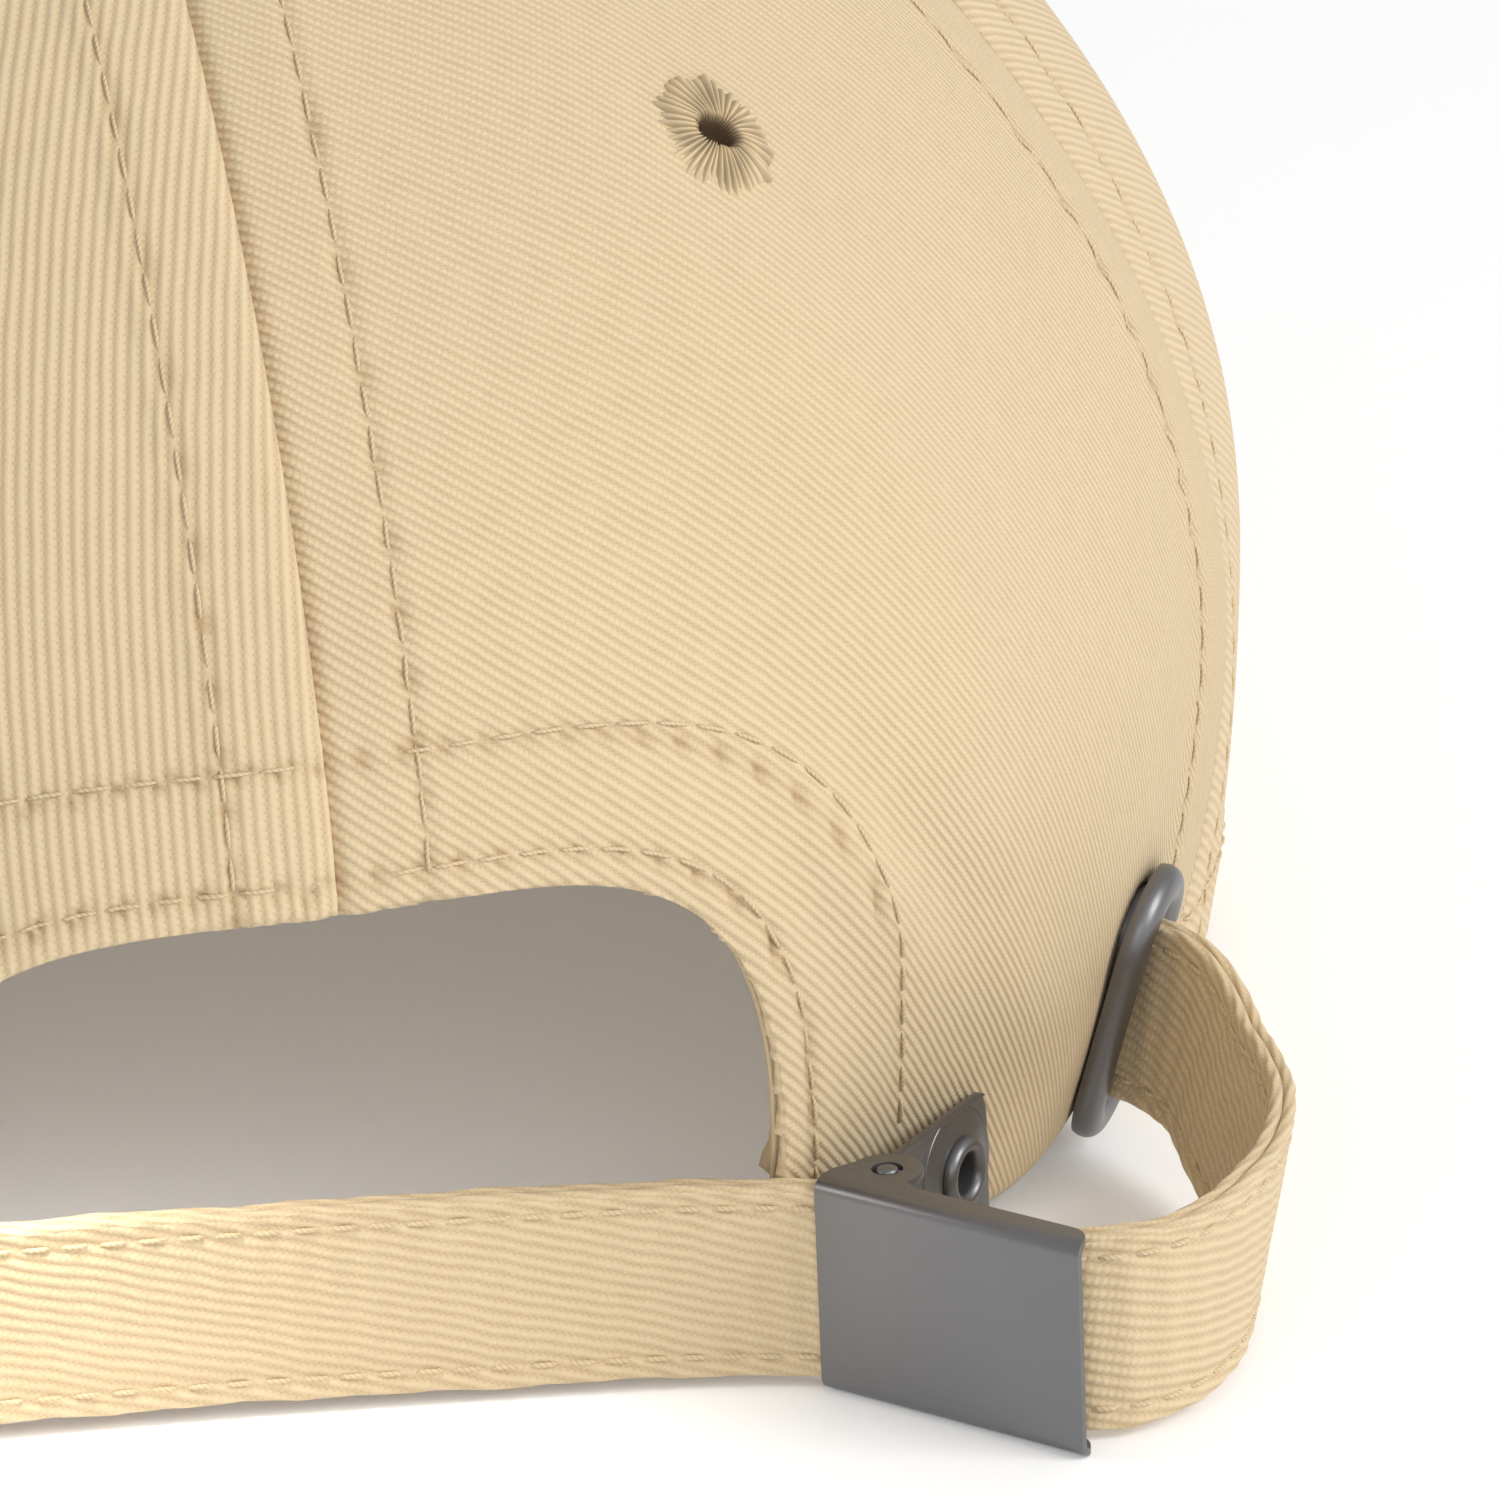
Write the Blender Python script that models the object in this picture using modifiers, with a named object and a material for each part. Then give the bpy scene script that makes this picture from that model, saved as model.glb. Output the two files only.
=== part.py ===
"""Six-panel baseball cap with a curved visor, a tuck-in back strap and a metal flip-lever buckle.

Frame: metres, +Z up, the cap standing on Z = 0. The visor points to -Y, the back opening to +Y,
and the wearer's right is -X. Angles around the crown are measured from the back seam towards -X.
"""

import math

import bmesh
import bpy
import numpy as np
from mathutils import Matrix, Vector

MM = 0.001
GAP = 0.30 * MM  # clearance between pieces that touch on the real cap

# Crown: an elliptic shell whose wall turns in a little towards the hem.
HALF_LENGTH = 100.5 * MM
HALF_WIDTH = 91.0 * MM
REAR_HEM_Z = 2.4 * MM
WIDEST_Z = 35.0 * MM
APEX_Z = 118.8 * MM
BACK_ROUNDNESS = 1.97  # exponent of the meridian's superellipse
FRONT_ROUNDNESS = 1.92
HEM_TUCK = 0.04  # share by which the radius is smaller at the hem than at the widest height
APEX_HOLE_SHARE = 0.036  # radius at which the panels end, under the button
WALL_SHARE = 0.2  # share of the meridian's parameter below the widest height
FABRIC = 0.9 * MM
PANEL_COLUMNS = 10
PANEL_ROWS = 15
PANEL_DEGREES = 60.0
PANELS = ("back_right", "side_right", "front_right", "front_left", "side_left", "back_left")

# The strap pulls the wall in beside the buckle and under its base: degrees, spread, share and height.
PULLS = ((53.2, 12.0, 0.056, 42.8 * MM), (30.0, 9.5, 0.056, 34.0 * MM))

# Back opening, a squarish arch centred on the back seam.
ARCH_HALF_WIDTH = 32.9 * MM
ARCH_HEIGHT = 41.1 * MM
ARCH_SQUARENESS = 3.9
FACING_WIDTH = 7.0 * MM
TAPE = 0.5 * MM
LINING_INWARD = FABRIC + 1.9 * GAP  # the tapes and the facing behind the crown's outer face
TAPE_WIDTH = 14.0 * MM

SWEATBAND = 1.2 * MM
SWEATBAND_HEIGHT = 30.0 * MM
SWEATBAND_START_DEGREES = 30.0
SWEATBAND_OFFSET = 2.5 * MM
TAIL_ROOM = 7.4 * MM  # how far the sweatband stands off around the tucked-in tail
STRAP_ROOM = 6.4 * MM  # and around the strap's sewn end
TAIL_INWARD = 5.4 * MM  # the tucked-in tail's centre line behind the crown's outer face
TAIL_END_DEGREES = (66.0, 73.0)

EYELET_HEIGHT = 85.5 * MM
EYELET_HOLE_R = 2.4 * MM
EYELET_BORE_R = 1.5 * MM
EYELET_OUTER_R = 5.6 * MM
EYELET_THREAD = 0.4 * MM

# Visor: bent round an axis parallel to Y, and falling a little towards its front.
VISOR_HALF_DEGREES = 62.0
VISOR_REACH = 72.0 * MM
VISOR_BEND_R = 150.0 * MM
VISOR_CENTRE_Z = 25.7 * MM
VISOR_FALL = 0.09
VISOR_SQUARENESS = 0.82
VISOR_SEAT = 1.6 * MM  # how far the crown's hem reaches below the visor's middle layer
VISOR_BOARD = 1.6 * MM
VISOR_STACK = 4.6 * MM  # height over which the crown's wall stands behind the visor's inner edge
VISOR_COLUMNS = 22
VISOR_ROWS = 6

BUTTON_R = 8.0 * MM
BUTTON_HEIGHT = 5.0 * MM

# Strap: a flat doubled band standing on its edge, and its route in plan, chosen by hand.
STRAP_WIDTH = 14.9 * MM
STRAP_THICK = 1.9 * MM
STRAP_Z = 8.2 * MM  # height of its centre line at the buckle
SEWN_INWARD = 3.7 * MM  # its sewn end's centre line behind the crown's outer face
STRAP_RISE = 0.6 * MM  # how much higher it lies at its sewn end

# Buckle: sheet-metal base riveted to the crown's corner, and a lever hinged at its left end.
SHEET = 0.5 * MM
HINGE_XY = Vector((-39.4, 93.6)) * MM
BASE_DIRECTION_DEGREES = 225.0  # from the hinge along the base, from +X towards +Y
LEVER_OPEN_DEGREES = 95.0
LEVER_LENGTH = 22.1 * MM
LEVER_HEIGHT = 16.4 * MM
LEVER_DEPTH = 4.2 * MM  # hinge axis behind the lever's outer face
LEVER_HEEL = 3.4 * MM  # lever's end past the hinge axis
LEVER_LIP = 2.4 * MM
EAR_R = 2.6 * MM
HINGE_HOLE_R = 1.15 * MM
NIB_R = 0.8 * MM
BEND_R = 1.1 * MM
BASE_LENGTH = 19.5 * MM
BASE_EAR_R = 1.3 * MM
BASE_DEPTH = 2.6 * MM  # hinge axis in front of the base's back face
BASE_CORNER_R = 2.6 * MM
RIVET_ALONG = 13.5 * MM  # rivet from the hinge axis, along the base
RIVET_Z = 10.3 * MM
RIVET_R = 3.0 * MM
RIVET_BARREL_R = 2.0 * MM
RIVET_BORE_R = 1.6 * MM

# Long eyelet that takes the strap's tail.
GROMMET_DEGREES = 50.5
GROMMET_Z = 12.6 * MM
GROMMET_SLOT = (17.2 * MM, 6.0 * MM)
GROMMET_RIM = 2.9 * MM
GROMMET_RISE = 1.5 * MM

SAND = (0.78, 0.62, 0.38, 1.0)
SAND_INSIDE = (0.66, 0.51, 0.30, 1.0)
GUNMETAL = (0.19, 0.19, 0.20, 1.0)

parts = None
cutters = None


def clear_scene():
    for obj in list(bpy.data.objects):
        bpy.data.objects.remove(obj, do_unlink=True)


def make_collections():
    global parts, cutters
    parts = bpy.data.collections.new("baseball_cap")
    cutters = bpy.data.collections.new("cutters")
    for collection in (parts, cutters):
        bpy.context.scene.collection.children.link(collection)


def material(name, colour, roughness, metallic=0.0):
    made = bpy.data.materials.get(name) or bpy.data.materials.new(name)
    made.use_nodes = True
    made.diffuse_color = colour
    shader = made.node_tree.nodes["Principled BSDF"]
    shader.inputs["Base Color"].default_value = colour
    shader.inputs["Roughness"].default_value = roughness
    shader.inputs["Metallic"].default_value = metallic
    return made


def twill(name):
    return material(f"{name}_twill", SAND, 0.9)


def gunmetal(name):
    return material(f"{name}_gunmetal", GUNMETAL, 0.35, 1.0)


# --- crown surface -------------------------------------------------------------------------


def smooth(value):
    value = np.clip(value, 0.0, 1.0)
    return value * value * (3.0 - 2.0 * value)


def visor_surface_z(x, y, lift=0.0):
    """Height of the visor's middle layer, or of one lying a little above or below it."""
    bend = np.sqrt((VISOR_BEND_R + lift) ** 2 - x**2) - VISOR_BEND_R
    return VISOR_CENTRE_Z + bend - VISOR_FALL * np.maximum(0.0, -y - HALF_LENGTH * 0.95)


def hem_z(phi):
    """The hem is level at the back and follows the visor's bend at the front."""
    from_front = np.abs(np.asarray(phi) % (2.0 * math.pi) - math.pi)
    side = math.radians(VISOR_HALF_DEGREES)
    x = HALF_WIDTH * (1.0 - HEM_TUCK) * np.sin(np.minimum(from_front, side))
    front = visor_surface_z(x, 0.0 * x) - VISOR_SEAT
    turn = smooth((from_front - side) / math.radians(60.0))
    return front * (1.0 - turn) + REAR_HEM_Z * turn


def meridian(phi):
    """Superellipse exponent of the meridian at phi, and the turn at which it reaches the apex hole."""
    frontness = ((1.0 - np.cos(phi)) / 2.0) ** 2
    roundness = BACK_ROUNDNESS + (FRONT_ROUNDNESS - BACK_ROUNDNESS) * frontness
    return roundness, np.arccos(APEX_HOLE_SHARE ** (roundness / 2.0))


def share_at(phi, z):
    """Meridian parameter of the crown at height z."""
    roundness, last = meridian(phi)
    hem = hem_z(phi)
    wall = WALL_SHARE * (z - hem) / (WIDEST_Z - hem)
    above = np.clip((z - WIDEST_Z) / (APEX_Z - WIDEST_Z), 0.0, 1.0)
    dome = WALL_SHARE + (1.0 - WALL_SHARE) * np.arcsin(above ** (roundness / 2.0)) / last
    return np.where(z < WIDEST_Z, wall, dome)


def outer_face(phi, share):
    """Point on the crown's outer face at angle phi and meridian parameter share, 0 at the hem and 1 at the apex."""
    roundness, last = meridian(phi)
    turn = np.clip((share - WALL_SHARE) / (1.0 - WALL_SHARE), 0.0, 1.0) * last
    hem = hem_z(phi)
    wall = hem + (WIDEST_Z - hem) * np.minimum(share / WALL_SHARE, 1.0)
    z = wall + (APEX_Z - WIDEST_Z) * np.sin(turn) ** (2.0 / roundness)
    radius = np.cos(turn) ** (2.0 / roundness)
    below = np.clip((WIDEST_Z - z) / (WIDEST_Z - REAR_HEM_Z), 0.0, 1.2)
    radius = radius * (1.0 - HEM_TUCK * below**2)
    for degrees, spread, share_in, height in PULLS:
        fade = np.clip(1.0 - (z - REAR_HEM_Z) / height, 0.0, 1.0) ** 1.5
        off = (phi - math.radians(degrees)) / math.radians(spread)
        radius = radius * (1.0 - share_in * np.exp(-(off**2)) * fade)
    return np.stack([-HALF_WIDTH * radius * np.sin(phi), HALF_LENGTH * radius * np.cos(phi), z], axis=-1)


def crown(phi, share, inward=0.0):
    """Point on the crown, moved inward of the outer face along its normal."""
    phi, share = np.broadcast_arrays(np.asarray(phi, float), np.asarray(share, float))
    step = 1e-3
    along = outer_face(phi + step, share) - outer_face(phi - step, share)
    up = outer_face(phi, np.minimum(share + step, 1.0)) - outer_face(phi, np.maximum(share - step, 0.0))
    normal = np.cross(along, up)
    normal /= np.linalg.norm(normal, axis=-1, keepdims=True)
    return outer_face(phi, share) - normal * np.asarray(inward)[..., None]


def crown_at(x, z, inward=0.0):
    """Point on the rear of the crown at sideways position x and height z."""
    low, high = -math.pi / 2.0, math.pi / 2.0
    for _ in range(32):
        phi = (low + high) / 2.0
        low, high = (phi, high) if outer_face(phi, share_at(phi, z))[0] > x else (low, phi)
    return crown(phi, share_at(phi, z), inward)


def crown_axes(phi, z):
    """Frame on the crown: origin on the outer face, X across, Y up the wall, Z outwards."""
    share = share_at(phi, z)
    origin = Vector(crown(phi, share))
    outward = (origin - Vector(crown(phi, share, 1.0 * MM))).normalized()
    up = Vector(crown(phi, share + 0.01)) - origin
    up = (up - outward * up.dot(outward)).normalized()
    axes = Matrix((up.cross(outward), up, outward)).transposed().to_4x4()
    return Matrix.Translation(origin) @ axes


# --- mesh helpers --------------------------------------------------------------------------


def add_object(name, mesh, made, collection=None):
    obj = bpy.data.objects.new(name, mesh)
    if made:
        mesh.materials.append(made)
    (collection or parts).objects.link(obj)
    return obj


def grid_mesh(name, points, closed=False):
    """Mesh through a grid of points, rows by columns, optionally closed along the columns."""
    rows, columns = points.shape[:2]
    index = np.arange(rows * columns).reshape(rows, columns)
    right = np.roll(index, -1, axis=1) if closed else index[:, 1:]
    left = index if closed else index[:, :-1]
    quads = np.stack([left[:-1], right[:-1], right[1:], left[1:]], axis=-1).reshape(-1, 4)
    mesh = bpy.data.meshes.new(name)
    mesh.from_pydata(points.reshape(-1, 3).tolist(), [], quads.tolist())
    return mesh


def soften(mesh):
    mesh.shade_smooth()
    mesh.set_sharp_from_angle(angle=math.radians(40.0))


def sheet(name, points, thickness, made, offset=-1.0):
    """Fabric or board through a grid of points, thickened against its normals."""
    mesh = grid_mesh(name, points)
    obj = add_object(name, mesh, made)
    solid = obj.modifiers.new("thickness", "SOLIDIFY")
    solid.thickness = thickness
    solid.offset = offset
    solid.use_even_offset = True
    soften(mesh)
    return obj


def band(name, sections, made):
    """Closed band through a list of closed cross-sections, capped at both ends."""
    points = np.array(sections)
    mesh = grid_mesh(name, points, closed=True)
    count = points.shape[1]
    made_mesh = bmesh.new()
    made_mesh.from_mesh(mesh)
    made_mesh.verts.ensure_lookup_table()
    made_mesh.faces.new(made_mesh.verts[:count])
    made_mesh.faces.new(made_mesh.verts[-count:])
    bmesh.ops.recalc_face_normals(made_mesh, faces=made_mesh.faces)
    made_mesh.to_mesh(mesh)
    made_mesh.free()
    soften(mesh)
    return add_object(name, mesh, made)


def turned(name, profile, steps, made, axes):
    """Round piece: a closed profile of (radius, height), outer side running down, turned about Z."""
    mesh = bpy.data.meshes.new(name)
    made_mesh = bmesh.new()
    verts = [made_mesh.verts.new((radius, 0.0, height)) for radius, height in profile]
    on_axis = profile[0][0] == 0.0 and profile[-1][0] == 0.0
    pairs = list(zip(verts, verts[1:])) + ([] if on_axis else [(verts[-1], verts[0])])
    for start, end in pairs:
        made_mesh.edges.new((start, end))
    made_mesh.to_mesh(mesh)
    made_mesh.free()
    obj = add_object(name, mesh, made)
    screw = obj.modifiers.new("turn", "SCREW")
    screw.steps = screw.render_steps = steps
    screw.use_merge_vertices = True
    screw.merge_threshold = 1e-6
    screw.use_smooth_shade = True
    obj.matrix_world = axes
    return obj


def cylinder_cutter(name, radius, length, axes, sides=20):
    mesh = bpy.data.meshes.new(name)
    made = bmesh.new()
    bmesh.ops.create_cone(made, cap_ends=True, segments=sides, radius1=radius, radius2=radius, depth=length)
    made.to_mesh(mesh)
    made.free()
    obj = add_object(name, mesh, None, cutters)
    obj.matrix_world = axes
    return hide_cutter(obj)


def prism(name, outline, low, high, axes):
    """Cutter: a plane outline of (x, y) points raised from low to high along Z."""
    made = bmesh.new()
    bottom = [made.verts.new((x, y, low)) for x, y in outline]
    raised = bmesh.ops.extrude_face_region(made, geom=[made.faces.new(bottom)])
    moved = [item for item in raised["geom"] if isinstance(item, bmesh.types.BMVert)]
    bmesh.ops.translate(made, vec=(0.0, 0.0, high - low), verts=moved)
    bmesh.ops.recalc_face_normals(made, faces=made.faces)
    mesh = bpy.data.meshes.new(name)
    made.to_mesh(mesh)
    made.free()
    obj = add_object(name, mesh, None, cutters)
    obj.matrix_world = axes
    return hide_cutter(obj)


def hide_cutter(obj):
    obj.hide_render = True
    obj.display_type = "WIRE"
    return obj


def boolean(obj, cutter, operation="DIFFERENCE"):
    made = obj.modifiers.new(cutter.name, "BOOLEAN")
    made.operation = operation
    made.object = cutter
    return obj


def arc(centre, radius, start, end, steps):
    """Points along an arc in the XY plane, its angles in degrees."""
    angles = np.radians(np.linspace(start, end, steps + 1))
    return [(centre[0] + radius * math.cos(a), centre[1] + radius * math.sin(a)) for a in angles]


def rounded_box(width, height, radius, steps=5):
    """Outline of a rectangle with round corners, centred on the origin."""
    x, y = width / 2.0 - radius, height / 2.0 - radius
    corners = ((x, y, 0.0), (-x, y, 90.0), (-x, -y, 180.0), (x, -y, 270.0))
    return [point for cx, cy, turn in corners for point in arc((cx, cy), radius, turn, turn + 90.0, steps)]


# --- crown pieces --------------------------------------------------------------------------


def panel_edges(index, shares, margin):
    """Angles of a panel's two side edges along the meridian, each kept margin away from its seam."""
    first = math.radians(PANEL_DEGREES * index)
    last = math.radians(PANEL_DEGREES * (index + 1))
    radius = np.hypot(*np.moveaxis(crown((first + last) / 2.0, shares)[..., :2], -1, 0))
    return first + margin / radius, last - margin / radius


def make_panel(index, cuts):
    shares = np.linspace(0.0, 1.0, PANEL_ROWS + 1)
    first, last = panel_edges(index, shares, GAP / 2.0)
    across = np.linspace(0.0, 1.0, PANEL_COLUMNS + 1)
    phi = first[:, None] + (last - first)[:, None] * across
    name = f"{PANELS[index]}_panel"
    panel = sheet(name, crown(phi, shares[:, None]), FABRIC, twill(name))
    for cutter in cuts:
        boolean(panel, cutter)
    return panel


def eyelet_axes(index):
    return crown_axes(math.radians(PANEL_DEGREES * (index + 0.5)), EYELET_HEIGHT)


def make_eyelet(index):
    """Thread ring worked over the edge of a hole: a collar through the panel with a flange on each face."""
    outer_face_z = GAP + 0.1 * MM
    inner_face = -FABRIC - GAP - 0.3 * MM
    profile = (
        (EYELET_BORE_R + 0.3 * MM, outer_face_z + EYELET_THREAD),
        (EYELET_OUTER_R - 0.4 * MM, outer_face_z + EYELET_THREAD),
        (EYELET_OUTER_R, outer_face_z),
        (EYELET_HOLE_R - GAP, outer_face_z),
        (EYELET_HOLE_R - GAP, inner_face),
        (EYELET_OUTER_R - 1.6 * MM, inner_face),
        (EYELET_OUTER_R - 1.6 * MM, inner_face - EYELET_THREAD),
        (EYELET_BORE_R, inner_face - EYELET_THREAD),
    )
    name = f"{PANELS[index]}_eyelet"
    return turned(name, profile, 16, material(f"{name}_thread", SAND, 0.8), eyelet_axes(index))


def make_tape(index, bottom_share):
    """Tape over the inside of the seam at the start of a panel."""
    shares = np.linspace(0.0, 1.0, PANEL_ROWS + 1)
    shares = np.concatenate([[bottom_share], shares[(shares > bottom_share + 0.01) & (shares < 0.93)]])
    phi = math.radians(PANEL_DEGREES * index)
    radius = np.hypot(*np.moveaxis(crown(phi, shares)[..., :2], -1, 0))
    across = np.linspace(-1.0, 1.0, 4)
    points = crown(phi + TAPE_WIDTH / 2.0 * across / radius[:, None], shares[:, None], LINING_INWARD)
    name = f"seam_tape_{('back', 'back_right', 'front_right', 'front', 'front_left', 'back_left')[index]}"
    return sheet(name, points, TAPE, material(f"{name}_cotton", SAND_INSIDE, 0.9))


def arch_outline(grow, steps):
    """Points (x, z) of the arch, grown outwards, from its foot at +X over the top to its foot at -X."""
    turn = np.linspace(0.0, math.pi, steps + 1)
    power = 2.0 / ARCH_SQUARENESS
    x = (ARCH_HALF_WIDTH + grow) * np.sign(np.cos(turn)) * np.abs(np.cos(turn)) ** power
    z = REAR_HEM_Z + (ARCH_HEIGHT + grow) * np.abs(np.sin(turn)) ** power
    return x, z


def arch_cutter():
    x, z = arch_outline(0.0, 40)
    below = REAR_HEM_Z - 20.0 * MM
    outline = [(x[0], below), *zip(x, z), (x[-1], below)]
    upright = Matrix.Rotation(math.radians(90.0), 4, "X")
    return prism("arch_cutter", outline, -140.0 * MM, -40.0 * MM, upright)


def make_arch_facing():
    """Bias strip sewn inside along the arch."""
    rows = []
    for grow in (0.8 * MM, (0.8 * MM + FACING_WIDTH) / 2.0, FACING_WIDTH):
        x, z = arch_outline(grow, 26)
        z = np.maximum(z, REAR_HEM_Z + 0.8 * MM)
        rows.append([crown_at(*place, LINING_INWARD) for place in zip(x, z)])
    return sheet("arch_facing", np.array(rows), TAPE, material("facing_cotton", SAND_INSIDE, 0.9))


def make_sweatband():
    start = math.radians(SWEATBAND_START_DEGREES)
    phi = np.linspace(start, 2.0 * math.pi - start, 46)
    rise = np.linspace(0.0, 1.0, 4)
    tail = 1.0 - smooth((np.degrees(phi) - 76.0) / 18.0)
    sewn = 1.0 - smooth((318.0 - np.degrees(phi)) / 14.0)
    inward = SWEATBAND_OFFSET + TAIL_ROOM * tail + STRAP_ROOM * sewn
    low = hem_z(phi) + 0.7 * MM
    grid = [crown(phi, share_at(phi, low + r * SWEATBAND_HEIGHT), inward) for r in rise]
    return sheet("sweatband", np.array(grid), SWEATBAND, material("sweatband_cotton", SAND_INSIDE, 0.95))


# --- visor and button ----------------------------------------------------------------------


def visor_grid(shrink, lift):
    """Grid over the visor's plan, from the crown's hem to its outer edge, raised by lift."""
    side = math.radians(VISOR_HALF_DEGREES) - 3.0 * shrink / HALF_LENGTH
    across = np.linspace(-1.0, 1.0, VISOR_COLUMNS + 1)
    phi = math.pi + side * across
    seat = WALL_SHARE * VISOR_STACK / (WIDEST_Z - hem_z(phi))
    inner = crown(phi, seat, -(2.0 * GAP + shrink))[..., :2]
    corner_x = inner[-1, 0] + 1.0 * MM
    corner_y = inner[-1, 1]
    front_y = -(HALF_LENGTH * 0.96 + VISOR_REACH - shrink)
    turn = across * math.pi / 2.0
    outer_x = corner_x * np.sin(turn)
    outer_y = corner_y - 1.0 * MM + (front_y - corner_y) * np.maximum(np.cos(turn), 0.0) ** VISOR_SQUARENESS
    outer = np.stack([outer_x, outer_y], axis=-1)
    reach = np.linspace(0.0, 1.0, VISOR_ROWS + 1)[:, None, None]
    plan = inner * (1.0 - reach) + outer * reach
    z = visor_surface_z(plan[..., 0], plan[..., 1], lift)
    return np.concatenate([plan, z[..., None]], axis=-1)


def make_visor():
    half = VISOR_BOARD / 2.0
    skin = half + 2.3 * GAP
    layers = (
        ("visor_top_fabric", 0.0, skin, FABRIC, twill("visor_top")),
        ("visor_board", 1.6 * MM, -half, VISOR_BOARD, material("visor_board_plastic", (0.75, 0.75, 0.72, 1.0), 0.5)),
        ("visor_bottom_fabric", 0.0, -skin - FABRIC, FABRIC, twill("visor_bottom")),
    )
    for name, shrink, lift, thickness, made in layers:
        sheet(name, visor_grid(shrink, lift)[:, ::-1], thickness, made, offset=1.0)


def make_button():
    """Fabric-covered button riveted through the apex, with a washer inside."""
    seat = Matrix.Translation((0.0, 0.0, APEX_Z + GAP + 0.1 * MM))
    dome = [
        (BUTTON_R * math.cos(a), BUTTON_HEIGHT * math.sin(a))
        for a in np.radians(np.linspace(90.0, 0.0, 7))
    ]
    hollow = [((BUTTON_R - 0.9 * MM) * math.sin(a), (BUTTON_HEIGHT - 0.9 * MM) * math.cos(a))
              for a in np.radians(np.linspace(90.0, 0.0, 7))]
    dome[0] = (0.0, BUTTON_HEIGHT)
    hollow[-1] = (0.0, hollow[-1][1])
    turned("button_cover", (*dome, *hollow), 20, twill("button_cover"), seat)
    core = [(r - 0.35 * MM, z - 0.35 * MM) for r, z in hollow[::-1]]
    core[0] = (0.0, core[0][1])
    core[-1] = (core[-1][0], 0.2 * MM)
    core += [(2.1 * MM, 0.2 * MM), (2.1 * MM, 1.6 * MM), (0.0, 1.6 * MM)]
    turned("button_core", core, 20, material("button_core_plastic", (0.8, 0.8, 0.78, 1.0), 0.5), seat)
    shank = (
        (0.0, 1.3 * MM), (1.7 * MM, 1.3 * MM), (1.7 * MM, -3.4 * MM), (3.4 * MM, -3.4 * MM),
        (3.4 * MM, -4.2 * MM), (0.0, -4.2 * MM),
    )
    turned("button_rivet", shank, 16, material("button_rivet_steel", (0.6, 0.6, 0.6, 1.0), 0.4, 1.0), seat)
    washer = ((7.0 * MM, -2.4 * MM), (7.0 * MM, -3.1 * MM), (2.1 * MM, -3.1 * MM), (2.1 * MM, -2.4 * MM))
    turned("button_washer", washer, 24, material("button_washer_plastic", (0.8, 0.8, 0.78, 1.0), 0.5), seat)


# --- buckle --------------------------------------------------------------------------------


def plan_axes(degrees):
    """Frame on the hinge axis: X along a direction in plan, Y to its right, Z up, or as near as that allows."""
    return Matrix.Translation((*HINGE_XY, 0.0)) @ Matrix.Rotation(math.radians(degrees), 4, "Z")


def channel(name, length, depth, height, made, axes, flip):
    """Sheet-metal channel along X: a web with its outer face at Y = 0 and two flanges towards Y * flip."""
    outer = rounded_channel(depth, height, BEND_R)
    inner = rounded_channel(depth, height - 2.0 * SHEET, BEND_R - SHEET, SHEET)
    section = outer + inner[::-1]
    mesh = bpy.data.meshes.new(name)
    made_mesh = bmesh.new()
    verts = [made_mesh.verts.new((0.0, y * flip, z)) for y, z in section]
    raised = bmesh.ops.extrude_face_region(made_mesh, geom=[made_mesh.faces.new(verts)])
    moved = [item for item in raised["geom"] if isinstance(item, bmesh.types.BMVert)]
    bmesh.ops.translate(made_mesh, vec=(length, 0.0, 0.0), verts=moved)
    bmesh.ops.recalc_face_normals(made_mesh, faces=made_mesh.faces)
    made_mesh.to_mesh(mesh)
    made_mesh.free()
    soften(mesh)
    obj = add_object(name, mesh, made)
    obj.matrix_world = axes
    return obj


def rounded_channel(depth, height, radius, inset=0.0):
    """Half outline of a channel, (y, z), from the top flange's edge round the web to the bottom flange's."""
    half = height / 2.0
    top = arc((inset + radius, half - radius), radius, 90.0, 180.0, 4)
    bottom = arc((inset + radius, radius - half), radius, 180.0, 270.0, 4)
    return [(depth, half), *top, *bottom, (depth, -half)]


def make_lever(axes):
    """Cover lever: a channel trimmed to a hinge ear and a narrow lip, with a hinge hole in each ear."""
    centre = Matrix.Translation((-LEVER_HEEL, -LEVER_DEPTH, LEVER_HEIGHT / 2.0))
    deep = LEVER_DEPTH + EAR_R + 1.0 * MM
    lever = channel("buckle_lever", LEVER_LENGTH, deep, LEVER_HEIGHT, gunmetal("buckle_lever"), axes @ centre, 1.0)
    end_x = LEVER_LENGTH - LEVER_HEEL
    lip_y = LEVER_LIP - LEVER_DEPTH
    notch_x = EAR_R + 0.5 * MM
    outline = [
        (-LEVER_HEEL - 1.0 * MM, -LEVER_DEPTH - 1.0 * MM),
        (end_x + 1.0 * MM, -LEVER_DEPTH - 1.0 * MM),
        (end_x + 1.0 * MM, lip_y - 2.0 * MM),
        *arc((end_x - 2.4 * MM, lip_y - 2.4 * MM), 2.4 * MM, 0.0, 90.0, 5),
        (notch_x + 0.4 * MM, lip_y),
        *arc((0.0, 0.0), EAR_R, -25.0, 180.0, 12),
        (-LEVER_HEEL - 0.15 * MM, -LEVER_DEPTH + 2.5 * MM),
    ]
    boolean(lever, prism("lever_trim", outline, -5.0 * MM, LEVER_HEIGHT + 5.0 * MM, axes), "INTERSECT")
    boolean(lever, cylinder_cutter("hinge_hole", HINGE_HOLE_R, 60.0 * MM, axes, 24))
    return lever


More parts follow.
